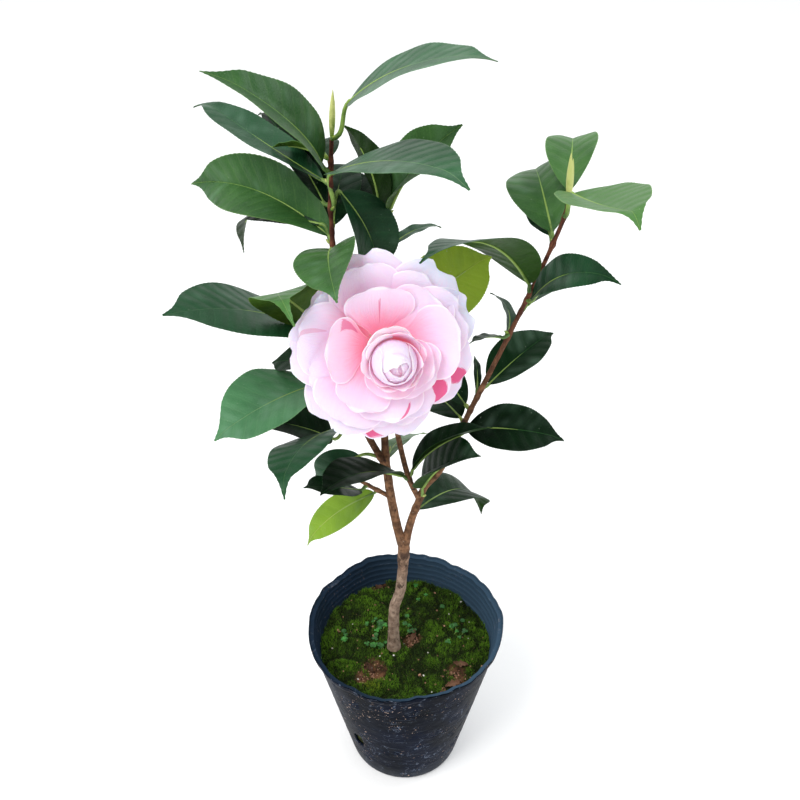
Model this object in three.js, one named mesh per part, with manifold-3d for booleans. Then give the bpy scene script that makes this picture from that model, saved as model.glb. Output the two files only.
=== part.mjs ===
// A young potted camellia with one large double bloom, in its soft nursery pot.
// Millimetres, +Z up. The origin is the centre of the pot's flat underside.
import * as THREE from "three";
import { mergeVertices } from "three/addons/utils/BufferGeometryUtils.js";
import Module from "manifold-3d";

const wasm = await Module();
wasm.setup();

// Driving dimensions
const GAP = 0.3; // clearance between pieces that touch
const POT = {
  rimRadius: 70,
  footRadius: 41,
  footBevel: 1,
  height: 128,
  wall: 1.5,
  lipHeight: 6,
  lipDepth: 1.6,
  segments: 36,
};
const SLOT = { count: 3, width: 9, height: 15, depth: 12, level: 42, firstAngle: -132 };
const SOIL = { level: 104, unevenness: 1.6, flatRadius: 10, rings: 4, segments: 28, clearance: 0.4 };
// The mossy top rises and falls in two waves across the soil: radians per millimetre.
const MOSS_WAVES = { broadX: 0.16, broadY: 0.13, fine: 0.31, fineShare: 0.5, mean: 0.6, swing: 0.6 };
const STEM_SIDES = 6;
const STEM_STEP = 20; // length of one straight stretch of stem
const FRAMES = 64; // cross-sections that a centreline is given
const FLARE = { extra: 1.4, fade: 12 }; // the trunk's widening at the ground, and how fast it fades
const SLEEVE = { thickness: 1.8, atTip: 0.4, below: 4, above: 5 };
const PETIOLE = { radius: 1.3, sides: 4, rootedIn: 0.6, reach: 0.12 }; // reach is a share of the blade
const BLADE = { thickness: 4, sides: 4, rings: 6 };
// A leaf's usual shape. arch, bend and hook are shares of its length: how far its midrib bows up off
// its chord, how far it bows sideways, and how far the tip from hookFrom on turns down. fold is the
// angle of its halves to its chord, twist the turn about its midrib from base to tip, both in degrees.
const USUAL_LEAF = {
  arch: 0.09, bend: 0, hook: 0.035, hookFrom: 0.84, fold: 16, twist: 0, skew: 0.88, petiole: 4, lift: 2,
};
const HOOK = { down: 0.6, inwards: 0.4, sharpness: 1.6 };
const FOLD = { flattening: 0.35, rounding: 0.72 }; // the fold opens towards the tip, its halves round over
// A blade's half width along its length is sin(pi s^skew)^fullness, drawn in towards the tip.
const OUTLINE = { fullness: 0.72, drawnIn: 0.35, drawnInFrom: 6 };
const BLOOM = {
  centre: [-12, -56, 383.5],
  turn: -82,
  rise: 18,
  radius: 47,
  segments: 24,
  lobes: 9,
  lobeDepth: 0.035,
  oval: 0.02,
  ruffle: 1.6,
  // Radius and height from the calyx, round the outer petals' rim, to the top of the inner cup.
  profile: [
    [0, -17], [6, -17], [22, -14], [36, -8], [47, -3], [47.5, 0], [41, 3],
    [34, 6], [25, 7], [21, 13], [14, 18], [0, 19],
  ],
};

// The stems' centrelines, each with its radius at the start and at the end. A limb whose thinning is
// above 1 loses most of its girth early on.
const LIMBS = {
  trunk: {
    radius: [3.9, 3.3],
    path: [[-8, -4, 104], [-8, -3, 131], [-7, -2, 145], [-4, -1, 155], [-2, 0, 174], [-1, 0, 198]],
  },
  left_fork: {
    radius: [3.1, 2.7],
    path: [[-1, 0, 198], [-4, 0, 209], [-9, 1, 238], [-12, 2, 264]],
  },
  right_stem: {
    radius: [2.9, 1.15],
    thinning: 2.2,
    path: [
      [-1, 0, 198], [4, 1, 222], [8, 1, 236], [12, 2, 248], [21, 2, 261], [40, 3, 311],
      [57, 3, 356], [77, 3, 413], [83, 3, 435], [83, 3, 444], [82, 3, 459],
    ],
  },
  middle_stem: {
    radius: [2.5, 1.2],
    path: [
      [-12, 2, 264], [-13, 6, 282], [-13, 12, 308], [-12, 18, 353], [-11, 20, 394],
      [-11, 20, 424],
    ],
  },
  left_stem: {
    radius: [2.3, 1.1],
    thinning: 1.5,
    path: [
      [-12, 2, 264], [-21, 3, 283], [-28, 4, 299], [-37, 6, 325], [-42, 8, 356],
      [-42, 9, 384], [-40, 10, 410], [-40, 10, 433], [-39, 10, 453], [-38, 10, 468],
    ],
  },
  left_twig: {
    radius: [1.6, 1.1],
    path: [[-10, 1, 241], [-19, 0, 248], [-28, -2, 256]],
  },
  bloom_twig: {
    radius: [1.8, 1.4],
    path: [
      [8, 1, 240], [2, -4, 260], [-4, -14, 296], [-8, -24, 330], [-13, -34, 366],
      [-15, -38, 379],
    ],
  },
};

// Where along its centreline a limb ends, because a foliage mass takes over from there.
const LIMB_ENDS = { right_stem: 226, middle_stem: 136, left_stem: 184, left_twig: 8 };

// Foliage masses. Each clasps one limb, and each leaf leaves it `at` millimetres along the limb,
// heading `turn` degrees round from +X and `rise` degrees up, and is rolled about its own midrib.
const leaf = (at, turn, rise, length, width, roll = 0, more = {}) => ({
  ...USUAL_LEAF, at, turn, rise, length, width, roll, ...more,
});
const FOLIAGE = {
  left_top_leaves: {
    limb: "left_stem",
    tip: 22,
    leaves: [
      leaf(186, 151, 23, 86, 35, -14, { arch: 0, petiole: 5, hook: 0.09, bend: 0.03, twist: -16 }),
      leaf(193, -146, 44, 81, 36, 47, {
        arch: 0.16, fold: 31, petiole: 5, lift: 5, hookFrom: 0.8, bend: 0.07, twist: 17, skew: 0.81,
      }),
      leaf(212, -34, 22, 85, 45, -26, {
        fold: 5, petiole: 12, lift: 21, hookFrom: 0.8, twist: -29,
      }),
      leaf(199, 157, 3, 32, 14, -22, { fold: 30, petiole: 2, lift: 1, hook: 0 }),
      leaf(197, 112, -10, 46, 24),
    ],
  },
  left_upper_leaves: {
    limb: "left_stem",
    leaves: [
      leaf(152, 142, 2, 110, 44, 22, {
        fold: 45, petiole: 2, lift: 5, hook: 0, bend: -0.04, twist: -58, skew: 0.85,
      }),
      leaf(172, -46, 13, 96, 50, -8, {
        arch: 0.07, fold: 10, petiole: 2, lift: 21, hook: 0.05, bend: 0.02, twist: -7,
      }),
      leaf(176, 30, -70, 56, 36, -50, {
        arch: 0.16, fold: 35, petiole: 6, lift: 5, bend: -0.06, twist: 48, skew: 0.82,
      }),
      leaf(174, 122, 23, 84, 24, 6, {
        arch: 0.02, fold: 35, petiole: 8, lift: 0, hook: 0.08, bend: -0.02, twist: 18,
      }),
      leaf(154, 135, -12, 89, 16, 29, {
        arch: 0.11, fold: 20, petiole: 8, lift: 8, hook: 0.33, hookFrom: 0.51, bend: 0.06, twist: 5, skew: 0.92,
      }),
      leaf(160, 85, 16, 58, 26),
    ],
  },
  left_side_leaves: {
    limb: "left_stem",
    leaves: [
      leaf(100, -145, 24, 95, 58, 0, {
        arch: 0.07, fold: 2, petiole: 9, hook: 0, hookFrom: 0.9, bend: -0.04, twist: -12,
      }),
      leaf(95, -99, 37, 88, 33, -46, {
        arch: 0.22, fold: 3, petiole: 13, lift: 12, hook: 0.12, hookFrom: 0.89, bend: -0.02, twist: -44, skew: 0.98,
      }),
      leaf(138, -84, 5, 67, 36, -12, {
        arch: 0.07, fold: 28, petiole: 12, lift: 18, bend: -0.02, twist: 19, skew: 0.85,
      }),
      leaf(120, 80, -15, 64, 30),
    ],
  },
  left_low_leaves: {
    limb: "left_stem",
    leaves: [
      leaf(9, -185, -33, 34, 23, 72, {
        arch: 0.13, fold: 21, petiole: 13, lift: 0, bend: -0.06, twist: -8, skew: 0.93,
      }),
      leaf(48, -109, 13, 84, 36, -36, {
        fold: 6, petiole: 17, lift: -3, hook: 0.09, hookFrom: 0.88, bend: -0.03, twist: -31,
      }),
      leaf(41, -160, 27, 60, 40, 22, {
        arch: 0.06, fold: 33, petiole: 17, lift: -12, bend: -0.02, twist: 22, skew: 0.82,
      }),
      leaf(70, -147, -10, 71, 58, -13, {
        fold: 20, petiole: 12, lift: 0, hook: 0.02, hookFrom: 0.86, bend: 0.06, twist: -26, skew: 0.92,
      }),
      leaf(85, 166, -21, 36, 24, 5, { arch: 0.01, petiole: 7, bend: 0.1, twist: -13 }),
      leaf(44, 95, -20, 60, 30),
    ],
  },
  middle_top_leaves: {
    limb: "middle_stem",
    tip: 6,
    leaves: [
      leaf(140, 45, 0, 40, 11, 5),
      leaf(155, 135, 59, 54, 32, -70, { lift: 3, twist: 9 }),
      leaf(161, -4, 51, 59, 35, 0, {
        fold: 41, petiole: 2, lift: 4, hook: 0, bend: -0.06, twist: 59,
      }),
      leaf(150, 120, 13, 61, 28, 5, { petiole: 5, bend: 0.02 }),
    ],
  },
  middle_side_leaves: {
    limb: "middle_stem",
    leaves: [
      leaf(91, -25, 45, 81, 42, 90, { petiole: 5, lift: 4 }),
      leaf(78, 110, 5, 66, 31),
      leaf(102, 50, -5, 66, 31),
    ],
  },
  middle_low_leaves: {
    limb: "middle_stem",
    leaves: [
      leaf(8, 59, -14, 54, 19, 24, { fold: 8, petiole: 2, lift: -4, hook: 0, bend: 0.08 }),
      leaf(40, 100, 5, 60, 28),
    ],
  },
  twig_leaves: {
    limb: "left_twig",
    tip: 3,
    leaves: [
      leaf(10, -172, -40, 59, 21, 47, {
        fold: 14, petiole: 2, lift: -2, hook: 0.05, bend: -0.06, skew: 0.84,
      }),
      leaf(18, -140, 31, 48, 25, -5, {
        arch: 0.02, fold: 9, petiole: 6, lift: -1, hook: 0.01, twist: -11,
      }),
    ],
  },
  bloom_twig_leaves: {
    limb: "bloom_twig",
    leaves: [
      leaf(21, -135, 20, 69, 35, -13, {
        fold: 25, petiole: 6, lift: 6, hook: 0, bend: -0.05, twist: -11,
      }),
      leaf(24, -10, 39, 60, 26, -12, {
        arch: 0.12, fold: 47, petiole: 3, lift: 6, hook: 0, twist: -33,
      }),
    ],
  },
  right_foot_leaves: {
    limb: "right_stem",
    leaves: [
      leaf(34, 42, -30, 73, 39, 1, {
        arch: 0.21, petiole: 2, lift: -2, hook: 0.06, hookFrom: 0.81, skew: 0.92,
      }),
      leaf(44, -48, 48, 70, 40, -33, {
        arch: 0.07, fold: 46, petiole: 2, lift: 9, hook: 0, bend: 0.04, twist: -11, skew: 0.83,
      }),
    ],
  },
  right_low_leaves: {
    limb: "right_stem",
    leaves: [
      leaf(101, -10, 0, 58, 33, -25),
      leaf(106, 115, -10, 50, 28, 15),
      leaf(127, 89, 12, 33, 5, -16, { fold: 19, lift: 0, twist: 11 }),
      leaf(133, 38, 19, 55, 32, -8, { arch: 0.05, fold: 29, petiole: 6, lift: 1 }),
      leaf(117, 140, 25, 52, 28),
    ],
  },
  right_upper_leaves: {
    limb: "right_stem",
    leaves: [
      leaf(170, 102, 19, 35, 11, -51, {
        arch: 0.17, petiole: 2, lift: 0, hook: 0.02, bend: -0.04, twist: -25,
      }),
      leaf(173, -135, 17, 31, 9, -12, { arch: 0.06, petiole: 5, lift: 0, hook: 0.02 }),
      leaf(196, -56, 32, 70, 22, -49, {
        fold: 35, lift: 1, hookFrom: 0.86, bend: 0.1, twist: 21, skew: 0.85,
      }),
      leaf(201, -133, 27, 100, 42, -10, {
        arch: 0.15, fold: 6, petiole: 2, lift: 6, hook: 0.02, twist: 12,
      }),
      leaf(188, 33, 9, 50, 23, 15, { lift: 3 }),
    ],
  },
  right_top_leaves: {
    limb: "right_stem",
    tip: 16,
    leaves: [
      leaf(231, 92, 10, 65, 38, 15, {
        arch: 0.18, fold: 21, petiole: 5, lift: 5, twist: -12, skew: 0.91,
      }),
      leaf(247, -81, 16, 86, 44, 0, {
        arch: -0.02, fold: 29, petiole: 8, lift: 16, hook: 0.09, hookFrom: 0.87, twist: 15, skew: 0.95,
      }),
      leaf(258, 80, 6, 62, 30, 17, {
        arch: 0.16, fold: 28, hook: 0.01, bend: -0.04, twist: 14, skew: 0.92,
      }),
      leaf(231, 100, 8, 34, 16, 12, { arch: 0.05, petiole: 5, lift: 3 }),
    ],
  },
};

const COLOURS = {
  pot: [0x1c232e, 0.45],
  soil: [0x3b4a1c, 0.95],
  bark: [0x7d6450, 0.85],
  leaf: [0x2f5a3a, 0.4],
  bloom: [0xf7c6dc, 0.6],
};

const rad = THREE.MathUtils.degToRad;
const vec = (a) => new THREE.Vector3(...a);
const heading = (turn, rise) =>
  new THREE.Vector3(
    Math.cos(rad(turn)) * Math.cos(rad(rise)),
    Math.sin(rad(turn)) * Math.cos(rad(rise)),
    Math.sin(rad(rise)),
  );

// A closed geometry with its shared vertices merged, and each vertex moved to where `move` says.
function reshaped(geometry, move = (point) => point) {
  const bare = geometry.clone();
  bare.deleteAttribute("normal");
  bare.deleteAttribute("uv");
  const merged = mergeVertices(bare, 1e-4);
  const place = merged.attributes.position;
  const point = new THREE.Vector3();
  for (let i = 0; i < place.count; i++) {
    const moved = move(point.fromBufferAttribute(place, i));
    place.setXYZ(i, moved.x, moved.y, moved.z);
  }
  return merged;
}

// A merged geometry as a solid that can be joined and cut, facing out whichever way it was wound.
function solid(merged) {
  const vertProperties = new Float32Array(merged.attributes.position.array);
  const corners = new Uint32Array(merged.index.array);
  const made = new wasm.Manifold(new wasm.Mesh({ numProp: 3, vertProperties, triVerts: corners }));
  if (made.volume() > 0) return made;
  return new wasm.Manifold(
    new wasm.Mesh({ numProp: 3, vertProperties, triVerts: corners.reverse() }),
  );
}

const joined = (solids) => solids.reduce((all, next) => all.add(next));

// The largest body of a solid that a cut may have divided.
const largest = (made) =>
  made.decompose().reduce((best, body) => (body.volume() > best.volume() ? body : best));

function meshOf(name, made, [color, roughness]) {
  const { vertProperties, triVerts } = made.getMesh();
  const geometry = new THREE.BufferGeometry()
    .setAttribute("position", new THREE.BufferAttribute(new Float32Array(vertProperties), 3))
    .setIndex(new THREE.BufferAttribute(new Uint32Array(triVerts), 1));
  geometry.computeVertexNormals();
  const material = new THREE.MeshStandardMaterial({ color, roughness, metalness: 0 });
  const mesh = new THREE.Mesh(geometry, material);
  mesh.name = name;
  return mesh;
}

const centreline = (points) => new THREE.CatmullRomCurve3(points.map(vec), false, "centripetal");

// A round stem along a curve from one length to another, whose radius follows radiusAt.
function stem(curve, from, to, radiusAt) {
  const total = curve.getLength();
  const steps = Math.max(1, Math.round((to - from) / STEM_STEP));
  const frames = curve.computeFrenetFrames(FRAMES, false);
  const rod = reshaped(new THREE.CylinderGeometry(1, 1, 1, STEM_SIDES, steps), ({ x, y, z }) => {
    const along = from + (y + 0.5) * (to - from);
    const u = THREE.MathUtils.clamp(along / total, 0, 1);
    const frame = Math.round(u * FRAMES);
    const radius = radiusAt(along / total);
    return curve
      .getPointAt(u)
      .addScaledVector(curve.getTangentAt(u), along - u * total)
      .addScaledVector(frames.normals[frame], x * radius)
      .addScaledVector(frames.binormals[frame], z * radius);
  });
  return solid(rod);
}

// A limb's radius at a share of its length.
function limbRadius(name, share) {
  const { radius, thinning = 1 } = LIMBS[name];
  const left = (1 - THREE.MathUtils.clamp(share, 0, 1)) ** thinning;
  const flare = name === "trunk" ? FLARE.extra * Math.exp(-share * FLARE.fade) : 0;
  return THREE.MathUtils.lerp(radius[1], radius[0], left) + flare;
}

function limbStem(name, from, to, extra) {
  return stem(centreline(LIMBS[name].path), from, to, (share) => limbRadius(name, share) + extra);
}

// A leaf's own directions: ahead along its chord, across it, and square to its face.
function leafFrame({ turn, rise, roll }) {
  const ahead = heading(turn, rise);
  const side = new THREE.Vector3(-Math.sin(rad(turn)), Math.cos(rad(turn)), 0);
  const face = new THREE.Vector3()
    .crossVectors(ahead, side)
    .multiplyScalar(Math.cos(rad(roll)))
    .addScaledVector(side, Math.sin(rad(roll)));
  return { ahead, face, across: new THREE.Vector3().crossVectors(face, ahead) };
}

// The point on a leaf's arched midrib at a share of its length, from where its petiole ends.
function midrib(entry, node, along) {
  const { turn, length, petiole, lift, arch, bend, hook, hookFrom } = entry;
  const { ahead, face, across } = leafFrame(entry);
  const bow = 4 * length * along * (1 - along);
  const hooked = THREE.MathUtils.clamp((along - hookFrom) / (1 - hookFrom), 0, 1);
  const drop = hook * length * hooked ** HOOK.sharpness;
  return node
    .clone()
    .addScaledVector(heading(turn, 0), petiole)
    .add(new THREE.Vector3(0, 0, lift - drop * HOOK.down))
    .addScaledVector(ahead, along * length)
    .addScaledVector(face, arch * bow - drop * HOOK.inwards)
    .addScaledVector(across, bend * bow);
}

// A leaf blade: a thin closed lens with a pointed tip, folded up a little along its midrib.
function blade(entry, node, extra) {
  const { thickness, sides, rings } = BLADE;
  const { face, across } = leafFrame(entry);
  const { fullness, drawnIn, drawnInFrom } = OUTLINE;
  const lens = reshaped(new THREE.SphereGeometry(1, sides, rings), ({ x, y, z }) => {
    const along = (1 - y) / 2;
    const girth = Math.hypot(x, z) || 1;
    const swell = Math.sin(Math.PI * along ** entry.skew) ** fullness;
    const half = swell * (1 - drawnIn * along ** drawnInFrom);
    const fold = rad(entry.fold) * (1 - FOLD.flattening * along);
    const twist = rad(entry.twist) * along;
    const out = (x / girth) * ((half * entry.width) / 2 + extra);
    const sideways = out * Math.cos(fold);
    const up =
      (z / girth) * ((half * thickness) / 2 + extra) + Math.abs(out) * Math.sin(fold) * FOLD.rounding;
    return midrib(entry, node, along)
      .addScaledVector(across, sideways * Math.cos(twist) - up * Math.sin(twist))
      .addScaledVector(face, up * Math.cos(twist) + sideways * Math.sin(twist));
  });
  return solid(lens);
}

// The leaf's stalk, from inside the sleeve round the limb to just inside its blade.
function stalk(entry, node, rootedAt, extra) {
  const end = midrib(entry, node, PETIOLE.reach);
  const ahead = end.clone().sub(node).normalize();
  const start = node.clone().addScaledVector(ahead, rootedAt);
  const radius = PETIOLE.radius + extra;
  const rod = new THREE.CylinderGeometry(radius, radius, start.distanceTo(end), PETIOLE.sides);
  rod.applyQuaternion(
    new THREE.Quaternion().setFromUnitVectors(new THREE.Vector3(0, 1, 0), ahead),
  );
  rod.translate(...start.lerp(end, 0.5).toArray());
  return solid(reshaped(rod));
}

// One foliage mass: its leaves on a sleeve round the limb, or on the limb's own tip.
function foliage({ limb, leaves, tip }, extra) {
  const curve = centreline(LIMBS[limb].path);
  const total = curve.getLength();
  const places = leaves.map((entry) => entry.at);
  const from = tip ? LIMB_ENDS[limb] + GAP - extra : Math.min(...places) - SLEEVE.below;
  const to = tip ? total + tip : Math.max(...places) + SLEEVE.above;
  const sleeve = SLEEVE.thickness * (tip ? SLEEVE.atTip : 1);
  const parts = [limbStem(limb, from, to, sleeve + extra)];
  for (const entry of leaves) {
    const share = Math.min(1, entry.at / total);
    const node = curve.getPointAt(share);
    const rootedAt = limbRadius(limb, share) + (tip ? 0 : SLEEVE.thickness * PETIOLE.rootedIn);
    parts.push(stalk(entry, node, rootedAt, extra), blade(entry, node, extra));
  }
  return joined(parts);
}

// The bloom: a shallow dish of petals with a lobed, uneven rim and a raised cup in the middle.
function bloom(extra) {
  const { radius, lobes, lobeDepth, oval, segments } = BLOOM;
  const profile = BLOOM.profile.map(
    ([r, h]) => new THREE.Vector2(r ? r + extra : 0, h + Math.sign(h) * extra),
  );
  const dish = reshaped(new THREE.LatheGeometry(profile, segments), ({ x, y, z }) => {
    const round = Math.atan2(z, x);
    const out = Math.hypot(x, z) / radius;
    const lobed = lobeDepth * out ** 3 * Math.sin(lobes * round);
    const swell = 1 + lobed + oval * out * Math.sin(2 * round + 1);
    const ruffle = BLOOM.ruffle * out ** 4 * Math.sin(lobes * round + 1);
    return new THREE.Vector3(x * swell, y + ruffle, z * swell);
  });
  dish.applyQuaternion(
    new THREE.Quaternion().setFromUnitVectors(
      new THREE.Vector3(0, 1, 0),
      heading(BLOOM.turn, BLOOM.rise),
    ),
  );
  dish.translate(...BLOOM.centre);
  return solid(dish);
}

const innerRadiusAt = (z) =>
  POT.footRadius + ((POT.rimRadius - POT.lipDepth - POT.footRadius) * z) / POT.height - POT.wall;

// A thin tapering cup with a turned-out lip, and drain slots low in its side.
function pot() {
  const { rimRadius, footRadius, footBevel, height, wall, lipHeight, lipDepth } = POT;
  const underLip = height - lipHeight;
  const profile = [
    [0, 0], [footRadius - footBevel, 0], [footRadius, footBevel],
    [innerRadiusAt(underLip) + wall, underLip], [rimRadius, underLip + lipDepth], [rimRadius, height],
    [rimRadius - lipDepth - wall, height], [innerRadiusAt(wall), wall], [0, wall],
  ].map(([r, z]) => new THREE.Vector2(r, z));
  const cup = new THREE.LatheGeometry(profile, POT.segments).rotateX(Math.PI / 2);
  const slots = Array.from({ length: SLOT.count }, (_, i) => {
    const angle = rad(SLOT.firstAngle + (360 / SLOT.count) * i);
    const reach = innerRadiusAt(SLOT.level) + wall / 2;
    const cutter = new THREE.BoxGeometry(SLOT.depth, SLOT.width, SLOT.height);
    cutter.rotateZ(angle);
    cutter.translate(reach * Math.cos(angle), reach * Math.sin(angle), SLOT.level);
    return solid(reshaped(cutter));
  });
  return slots.reduce((body, cutter) => body.subtract(cutter), solid(reshaped(cup)));
}

// The soil fills the pot to below its rim, with an uneven mossy top that is level round the trunk.
function soil() {
  const { level, unevenness, flatRadius, rings, segments, clearance } = SOIL;
  const floor = POT.wall + GAP;
  const side = (z) => innerRadiusAt(z) - clearance;
  const top = level - GAP;
  const outermost = side(top - unevenness);
  const profile = [new THREE.Vector2(0, floor), new THREE.Vector2(side(floor), floor)];
  for (let ring = rings; ring > 0; ring--) {
    const share = (ring - 1) / (rings - 1);
    profile.push(new THREE.Vector2(THREE.MathUtils.lerp(flatRadius, outermost, share), top));
  }
  profile.push(new THREE.Vector2(0, top));
  const plug = new THREE.LatheGeometry(profile, segments).rotateX(Math.PI / 2);
  const [footX, footY] = LIMBS.trunk.path[0];
  const { broadX, broadY, fine, fineShare, mean, swing } = MOSS_WAVES;
  const uneven = reshaped(plug, (point) => {
    const { x, y, z } = point;
    if (z < level / 2 || Math.hypot(x - footX, y - footY) < flatRadius) return point;
    const broad = Math.sin(x * broadX + 1) * Math.cos(y * broadY);
    const wave = broad + Math.sin((x + y) * fine) * fineShare;
    return point.setZ(top - unevenness * (mean + swing * wave));
  });
  return solid(uneven);
}

const shrub = new THREE.Group();
shrub.add(meshOf("pot", pot(), COLOURS.pot), meshOf("soil", soil(), COLOURS.soil));

// The limbs, each cut back from the ones before it.
const taken = [];
for (const [name, { path }] of Object.entries(LIMBS)) {
  const end = LIMB_ENDS[name] ?? centreline(path).getLength();
  const whole = limbStem(name, 0, end, 0);
  const cut = largest(taken.reduce((body, other) => body.subtract(other), whole));
  shrub.add(meshOf(name, cut, COLOURS.bark));
  taken.push(limbStem(name, -GAP, end + GAP, GAP));
}

// The bloom sits on the end of its twig.
const flower = largest(taken.reduce((body, other) => body.subtract(other), bloom(0)));
shrub.add(meshOf("bloom", flower, COLOURS.bloom));
taken.push(bloom(GAP));

// The foliage masses, each cut round the limbs, the bloom and the masses before it.
for (const [name, spec] of Object.entries(FOLIAGE)) {
  const cut = largest(taken.reduce((body, other) => body.subtract(other), foliage(spec, 0)));
  shrub.add(meshOf(name, cut, COLOURS.leaf));
  taken.push(foliage(spec, GAP));
}

export default shrub;
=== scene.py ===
"""A young potted camellia with one large double bloom, in its soft nursery pot.

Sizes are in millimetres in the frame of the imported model, and the mesh builder turns them into metres.
"""
import math
import random

import bpy
import numpy as np
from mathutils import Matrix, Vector, noise


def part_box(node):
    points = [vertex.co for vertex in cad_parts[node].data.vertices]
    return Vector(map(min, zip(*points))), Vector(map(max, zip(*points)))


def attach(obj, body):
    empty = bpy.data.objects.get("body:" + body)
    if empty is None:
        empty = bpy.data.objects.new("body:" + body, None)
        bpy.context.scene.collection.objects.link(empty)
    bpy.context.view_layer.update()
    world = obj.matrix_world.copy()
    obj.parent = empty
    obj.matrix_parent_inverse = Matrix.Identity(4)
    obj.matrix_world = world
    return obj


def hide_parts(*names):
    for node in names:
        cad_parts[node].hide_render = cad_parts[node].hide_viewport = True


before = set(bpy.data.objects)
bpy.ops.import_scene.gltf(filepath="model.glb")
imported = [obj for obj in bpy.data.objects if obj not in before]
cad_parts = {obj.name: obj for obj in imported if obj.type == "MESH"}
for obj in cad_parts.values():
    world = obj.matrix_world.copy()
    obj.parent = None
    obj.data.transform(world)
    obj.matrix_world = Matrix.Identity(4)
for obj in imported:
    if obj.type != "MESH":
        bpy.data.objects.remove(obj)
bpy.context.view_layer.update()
MM = 0.001
GOLDEN = 137.5  # degrees from one scale round a spiral to the next
UP = np.array([0, 0, 1.0])


# ---------------------------------------------------------------- camera
CAMERA_AT = (-3.6, -432.6, 612.0)
CAMERA_PITCH = 55.65  # degrees up from looking straight down
camera = bpy.data.objects.new("camera", bpy.data.cameras.new("camera"))
camera.data.lens = 40
camera.data.sensor_width = 36
camera.data.clip_start = 0.01
camera.data.clip_end = 100
camera.location = [c * MM for c in CAMERA_AT]
camera.rotation_euler = (math.radians(CAMERA_PITCH), 0, 0)
bpy.context.scene.collection.objects.link(camera)
bpy.context.scene.camera = camera


# ---------------------------------------------------------------- the plant's plan
def leaf(at, turn, rise, length, width, roll=0, tone="mid", **more):
    """A leaf at a length along its limb, heading turn degrees round from +X and rise degrees up."""
    shape = {"arch": 0.09, "fold": 16, "petiole": 4, "lift": 2, "hook": 0.035, "hook_from": 0.84,
             "bend": 0.0, "twist": 0.0, "wave": 0.35, "drawn": 0.5, "skew": 0.88, "hollow": 0.28}
    return {**shape, "at": at, "turn": turn, "rise": rise, "length": length, "width": width,
            "roll": roll, "tone": tone, **more}


# The limbs and leaves are those of the part's source, and change with it. Most of their values came from
# scratch programs that worked from points read off the photo, as report.md says.
# Each limb: its radius at the foot and the tip and how early it thins, then its middle line.
LIMBS = {
    "trunk": ((3.9, 3.3, 1), [
        (-8, -4, 104), (-8, -3, 131), (-7, -2, 145), (-4, -1, 155), (-2, 0, 174), (-1, 0, 198)]),
    "left_fork": ((3.1, 2.7, 1), [
        (-1, 0, 198), (-4, 0, 209), (-9, 1, 238), (-12, 2, 264)]),
    "right_stem": ((2.9, 1.15, 2.2), [
        (-1, 0, 198), (4, 1, 222), (8, 1, 236), (12, 2, 248), (21, 2, 261), (40, 3, 311),
        (57, 3, 356), (77, 3, 413), (83, 3, 435), (83, 3, 444), (82, 3, 459)]),
    "middle_stem": ((2.5, 1.2, 1), [
        (-12, 2, 264), (-13, 6, 282), (-13, 12, 308), (-12, 18, 353), (-11, 20, 394),
        (-11, 20, 424)]),
    "left_stem": ((2.3, 1.1, 1.5), [
        (-12, 2, 264), (-21, 3, 283), (-28, 4, 299), (-37, 6, 325), (-42, 8, 356), (-42, 9, 384),
        (-40, 10, 410), (-40, 10, 433), (-39, 10, 453), (-38, 10, 468)]),
    "left_twig": ((1.6, 1.1, 1), [
        (-10, 1, 241), (-19, 0, 248), (-28, -2, 256)]),
    "bloom_twig": ((1.8, 1.4, 1), [
        (8, 1, 240), (2, -4, 260), (-4, -14, 296), (-8, -24, 330), (-13, -34, 366),
        (-15, -38, 379)]),
}

KNOT = {"level": 188, "size": 0.9, "spread": 5.0}  # an old pruning scar under the fork

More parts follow.
